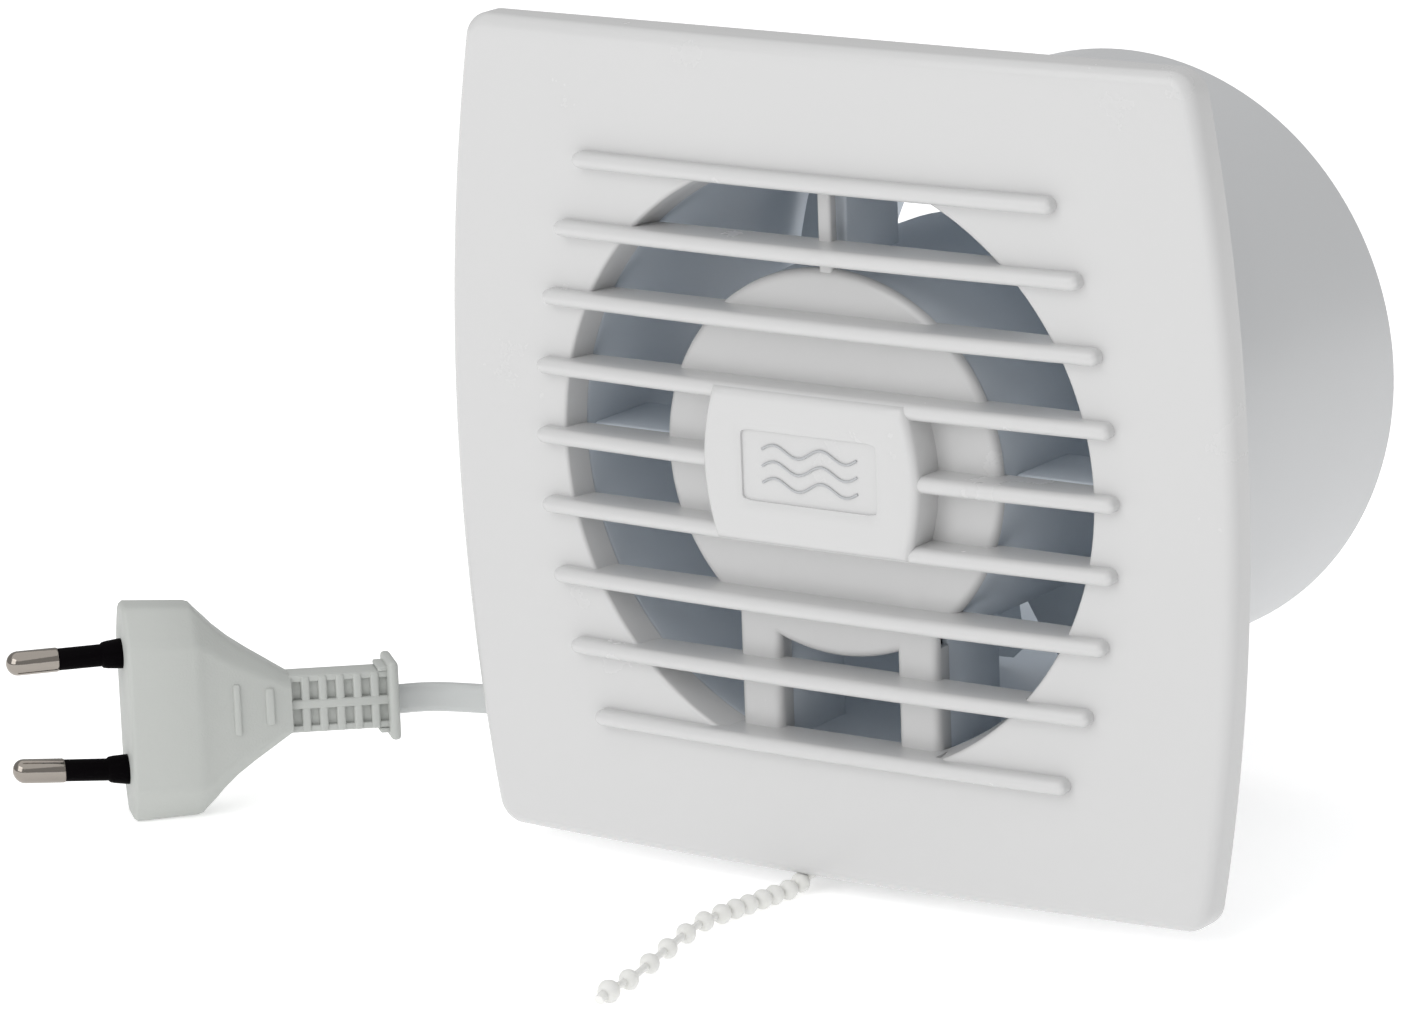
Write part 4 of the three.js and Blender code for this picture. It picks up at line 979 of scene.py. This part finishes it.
def strut_parts():
    """Struts from the cup to the spigot, ribs for the terminal block, and bosses for the motor's screws."""
    front, back = STRUT_FRONT_Y, STRUT_BACK_Y
    outer, inner, plate, end_z = 3.2, 2.0, 2.8, -47.4
    parts = []
    # Every strut, rib and boss takes slot 1, the painted-shade copy of the housing plastic.
    for side in (-1, 1):
        # The two lower struts are channels for the wires: two walls and a back plate.
        x = side * LEG_X
        parts.append(block((x - outer, front, end_z), (x - inner, back, -26.4), 0.3, 2, 1))
        parts.append(block((x + inner, front, end_z), (x + outer, back, -25.4), 0.3, 2, 1))
        parts.append(block((x - plate, 12.3, end_z + 0.6), (x + plate, 13.6, -26.2), 0.3, 2, 1))
        near = side * SIDE_STRUT_X - SIDE_STRUT_HALF_LENGTH
        far = side * SIDE_STRUT_X + SIDE_STRUT_HALF_LENGTH
        parts.append(block((near, front, -1.8), (far, back, 0.9), which=1))
        rib_x = side * TERMINAL_RIB_X
        parts.append(block((rib_x - 1, 12.42, 15.5), (rib_x + 1, 37, 24), 0.3, 2, 1))
    parts.append(block((-1.5, front, 30.4), (1.5, back, 48), which=1))
    screw_boss = [(1.9, 31.8), (1.9, 25.6), (3.0, 25.4), (3.2, 25.7), (3.2, 36.5)]
    for side in (-1, 1):
        parts.append(lathe(screw_boss, 24, side * MOTOR_SCREW_X, which=1))
    return parts


def screw_rims():
    """A raised rim at each of the four places for a wall screw; the flange is closed inside it."""
    profile = [(2.3, -0.2), (2.3, 0.03), (4.2, 0.03), (4.3, -0.2)]
    corners = [(x, z) for x in (-WALL_SCREW_AT, WALL_SCREW_AT) for z in (-WALL_SCREW_AT, WALL_SCREW_AT)]
    return [lathe(profile, 32, x, z) for x, z in corners]


housing_parts = [flange()] + spigot_parts() + [motor_cup()] + strut_parts() + screw_rims()
# Slot 1 is the painted-shade copy of the housing plastic, for everything inside the duct.
make("spigot_housing", housing_parts, [spigot_grey, duct_inside_painted_shade], "fan_body",
     ("housing", "motor_cup", "cup_strut_left", "cup_strut_right", "cup_strut_top",
      "cup_strut_side_left", "cup_strut_side_right"), sharp=35)

# ---------------------------------------------------------------- cord grommet

SLEEVE_START, SLEEVE_PITCH, SLEEVE_RINGS = 3.2, 1.75, 7
SLEEVE_R, SLEEVE_TAPER = 4.25, 0.17


def grommet_profile():
    """A collar on both sides of the wall, and a tapering sleeve of rings round the lead."""
    profile = [(2.5, 0.0), (2.5, -3.4), (5.6, -3.4), (5.6, -2.5), (4.3, -2.4), (4.3, 0.3), (5.2, 0.4),
               (5.2, 1.8), (4.4, 2.4)]
    for i in range(SLEEVE_RINGS):
        y = SLEEVE_START + i * SLEEVE_PITCH
        r = SLEEVE_R - i * SLEEVE_TAPER
        profile += [(r, y), (r, y + 0.9), (r - 0.7, y + 1.0), (r - 0.75, y + 1.55)]
    return profile + [(3.0, 15.6), (3.0, 16.0), (2.45, 16.0), (2.45, 0.5)]


make("lead_grommet", [lathe(grommet_profile(), 40, GROMMET_X, GROMMET_Z)], [plug_grey], "fan_body",
     ("cord_grommet",), sharp=35)

# ---------------------------------------------------------------- impeller

HUB_R, HUB_FRONT_Y, HUB_BACK_Y, HUB_T = 17.0, 39.2, 57.2, 1.6
BORE_R, SOCKET_R, SOCKET_FRONT_Y = 1.9, 4, 40
BLADE_COUNT, BLADE_REST = 7, 34
BLADE_R, BLADE_ROOT_R, BLADE_Y = 45.4, 16.4, 47.0
ROOT_PITCH, PITCH_LOSS = 48, 20
ROOT_CHORD, CHORD_GAIN = 17.3, 10.3
TIP_START, TIP_CUT = 0.9, 0.18
ROOT_HALF_T, THINNING, CAMBER, SKEW = 0.9, 0.35, 1.4, 0.22


def blade(turn_angle, stations=18, n=12):
    """A twisted, cambered blade that grows wider and flatter towards its rounded tip."""
    loops = []
    for s in range(stations + 1):
        t = s / stations
        radius = mix(BLADE_ROOT_R, BLADE_R, t)
        pitch_angle = math.radians(ROOT_PITCH - PITCH_LOSS * t)
        chord = ROOT_CHORD + CHORD_GAIN * t
        if t > TIP_START:
            chord *= 1 - TIP_CUT * ((t - TIP_START) / (1 - TIP_START)) ** 2
        half = ROOT_HALF_T - THINNING * t
        loop = []
        for side in (1, -1):
            for i in range(n):
                across = (i / n if side == 1 else 1 - i / n) - 0.5
                bulge = 1 - (2 * across) ** 2
                rise = CAMBER * bulge + half * math.sqrt(max(0.0, bulge)) * side
                u = across * chord * math.cos(pitch_angle) - rise * math.sin(pitch_angle)
                y = across * chord * math.sin(pitch_angle) + rise * math.cos(pitch_angle)
                a = turn_angle + SKEW * t + u / radius
                loop.append((radius * math.cos(a), BLADE_Y + y, radius * math.sin(a)))
        loops.append(loop)
    return rings(loops)


def hub():
    """A hollow hub open towards the motor, with a socket for the shaft."""
    wall_r, floor_y = HUB_R - HUB_T, 55.4
    profile = rounded([(SOCKET_R, SOCKET_FRONT_Y), (SOCKET_R, floor_y), (wall_r, floor_y),
                       (wall_r, HUB_FRONT_Y), (HUB_R, HUB_FRONT_Y), (HUB_R, HUB_BACK_Y),
                       (3.6, HUB_BACK_Y), (3.4, 56.6), (BORE_R, 56.6), (BORE_R, SOCKET_FRONT_Y)], 0.9, 4)
    return lathe(profile + [(SOCKET_R, SOCKET_FRONT_Y)], 96)


blades = [blade(math.radians(BLADE_REST) + 2 * math.pi * i / BLADE_COUNT) for i in range(BLADE_COUNT)]
# The impeller's bluish tone is painted shade.
make("axial_impeller", [hub()] + blades, [impeller_painted_shade], "rotor_assembly", ("impeller",),
     sharp=40)

# ---------------------------------------------------------------- floor and light

FLOOR_HALF_SIZE = 8.0
FLOOR_GLOW = 0.4
WHITE = (1, 1, 1, 1)
WORLD_STRENGTH = 0.47

floor_mat = bpy.data.materials.new("floor_paper")
floor_mat.use_nodes = True
floor_nodes, floor_links = floor_mat.node_tree.nodes, floor_mat.node_tree.links
floor_shader = floor_nodes["Principled BSDF"]
floor_noise = floor_nodes.new("ShaderNodeTexNoise")
floor_noise.inputs["Scale"].default_value = 300
floor_ramp = floor_nodes.new("ShaderNodeValToRGB")
floor_ramp.color_ramp.elements[0].color = (0.96, 0.96, 0.96, 1)
floor_ramp.color_ramp.elements[1].color = (0.98, 0.98, 0.98, 1)
floor_links.new(floor_noise.outputs["Fac"], floor_ramp.inputs["Fac"])
floor_links.new(floor_ramp.outputs["Color"], floor_shader.inputs["Base Color"])
floor_shader.inputs["Roughness"].default_value = 0.9
floor_shader.inputs["Specular IOR Level"].default_value = 0.1
# A faintly backlit table top, as in a product studio.
floor_shader.inputs["Emission Color"].default_value = WHITE
floor_shader.inputs["Emission Strength"].default_value = FLOOR_GLOW
floor_mesh = bpy.data.meshes.new("floor")
floor_corners = [(-1, -1), (1, -1), (1, 1), (-1, 1)]
floor_points = [(x * FLOOR_HALF_SIZE, y * FLOOR_HALF_SIZE, FLOOR_Z * MM) for x, y in floor_corners]
floor_mesh.from_pydata(floor_points, [], [(0, 1, 2, 3)])
floor_mesh.materials.append(floor_mat)
floor = bpy.data.objects.new("floor", floor_mesh)
bpy.context.scene.collection.objects.link(floor)


def area(name, place, size, power):
    """A square soft light that faces the object."""
    data = bpy.data.lights.new(name, "AREA")
    data.shape = "RECTANGLE"
    data.size = size
    data.size_y = size
    data.energy = power
    light = bpy.data.objects.new(name, data)
    bpy.context.scene.collection.objects.link(light)
    light.location = Vector(place)
    light.rotation_euler = (-Vector(place)).to_track_quat("-Z", "Y").to_euler()


area("overhead", (0.0, -0.2, 1.8), 3.4, 22)
area("front", (-0.3, -1.8, 0.95), 1.6, 15.5)
world = bpy.data.worlds.new("studio")
world.use_nodes = True
background = world.node_tree.nodes["Background"]
background.inputs["Color"].default_value = WHITE
background.inputs["Strength"].default_value = WORLD_STRENGTH
bpy.context.scene.world = world
bpy.context.scene.view_settings.view_transform = "Standard"
bpy.context.scene.view_settings.look = "None"
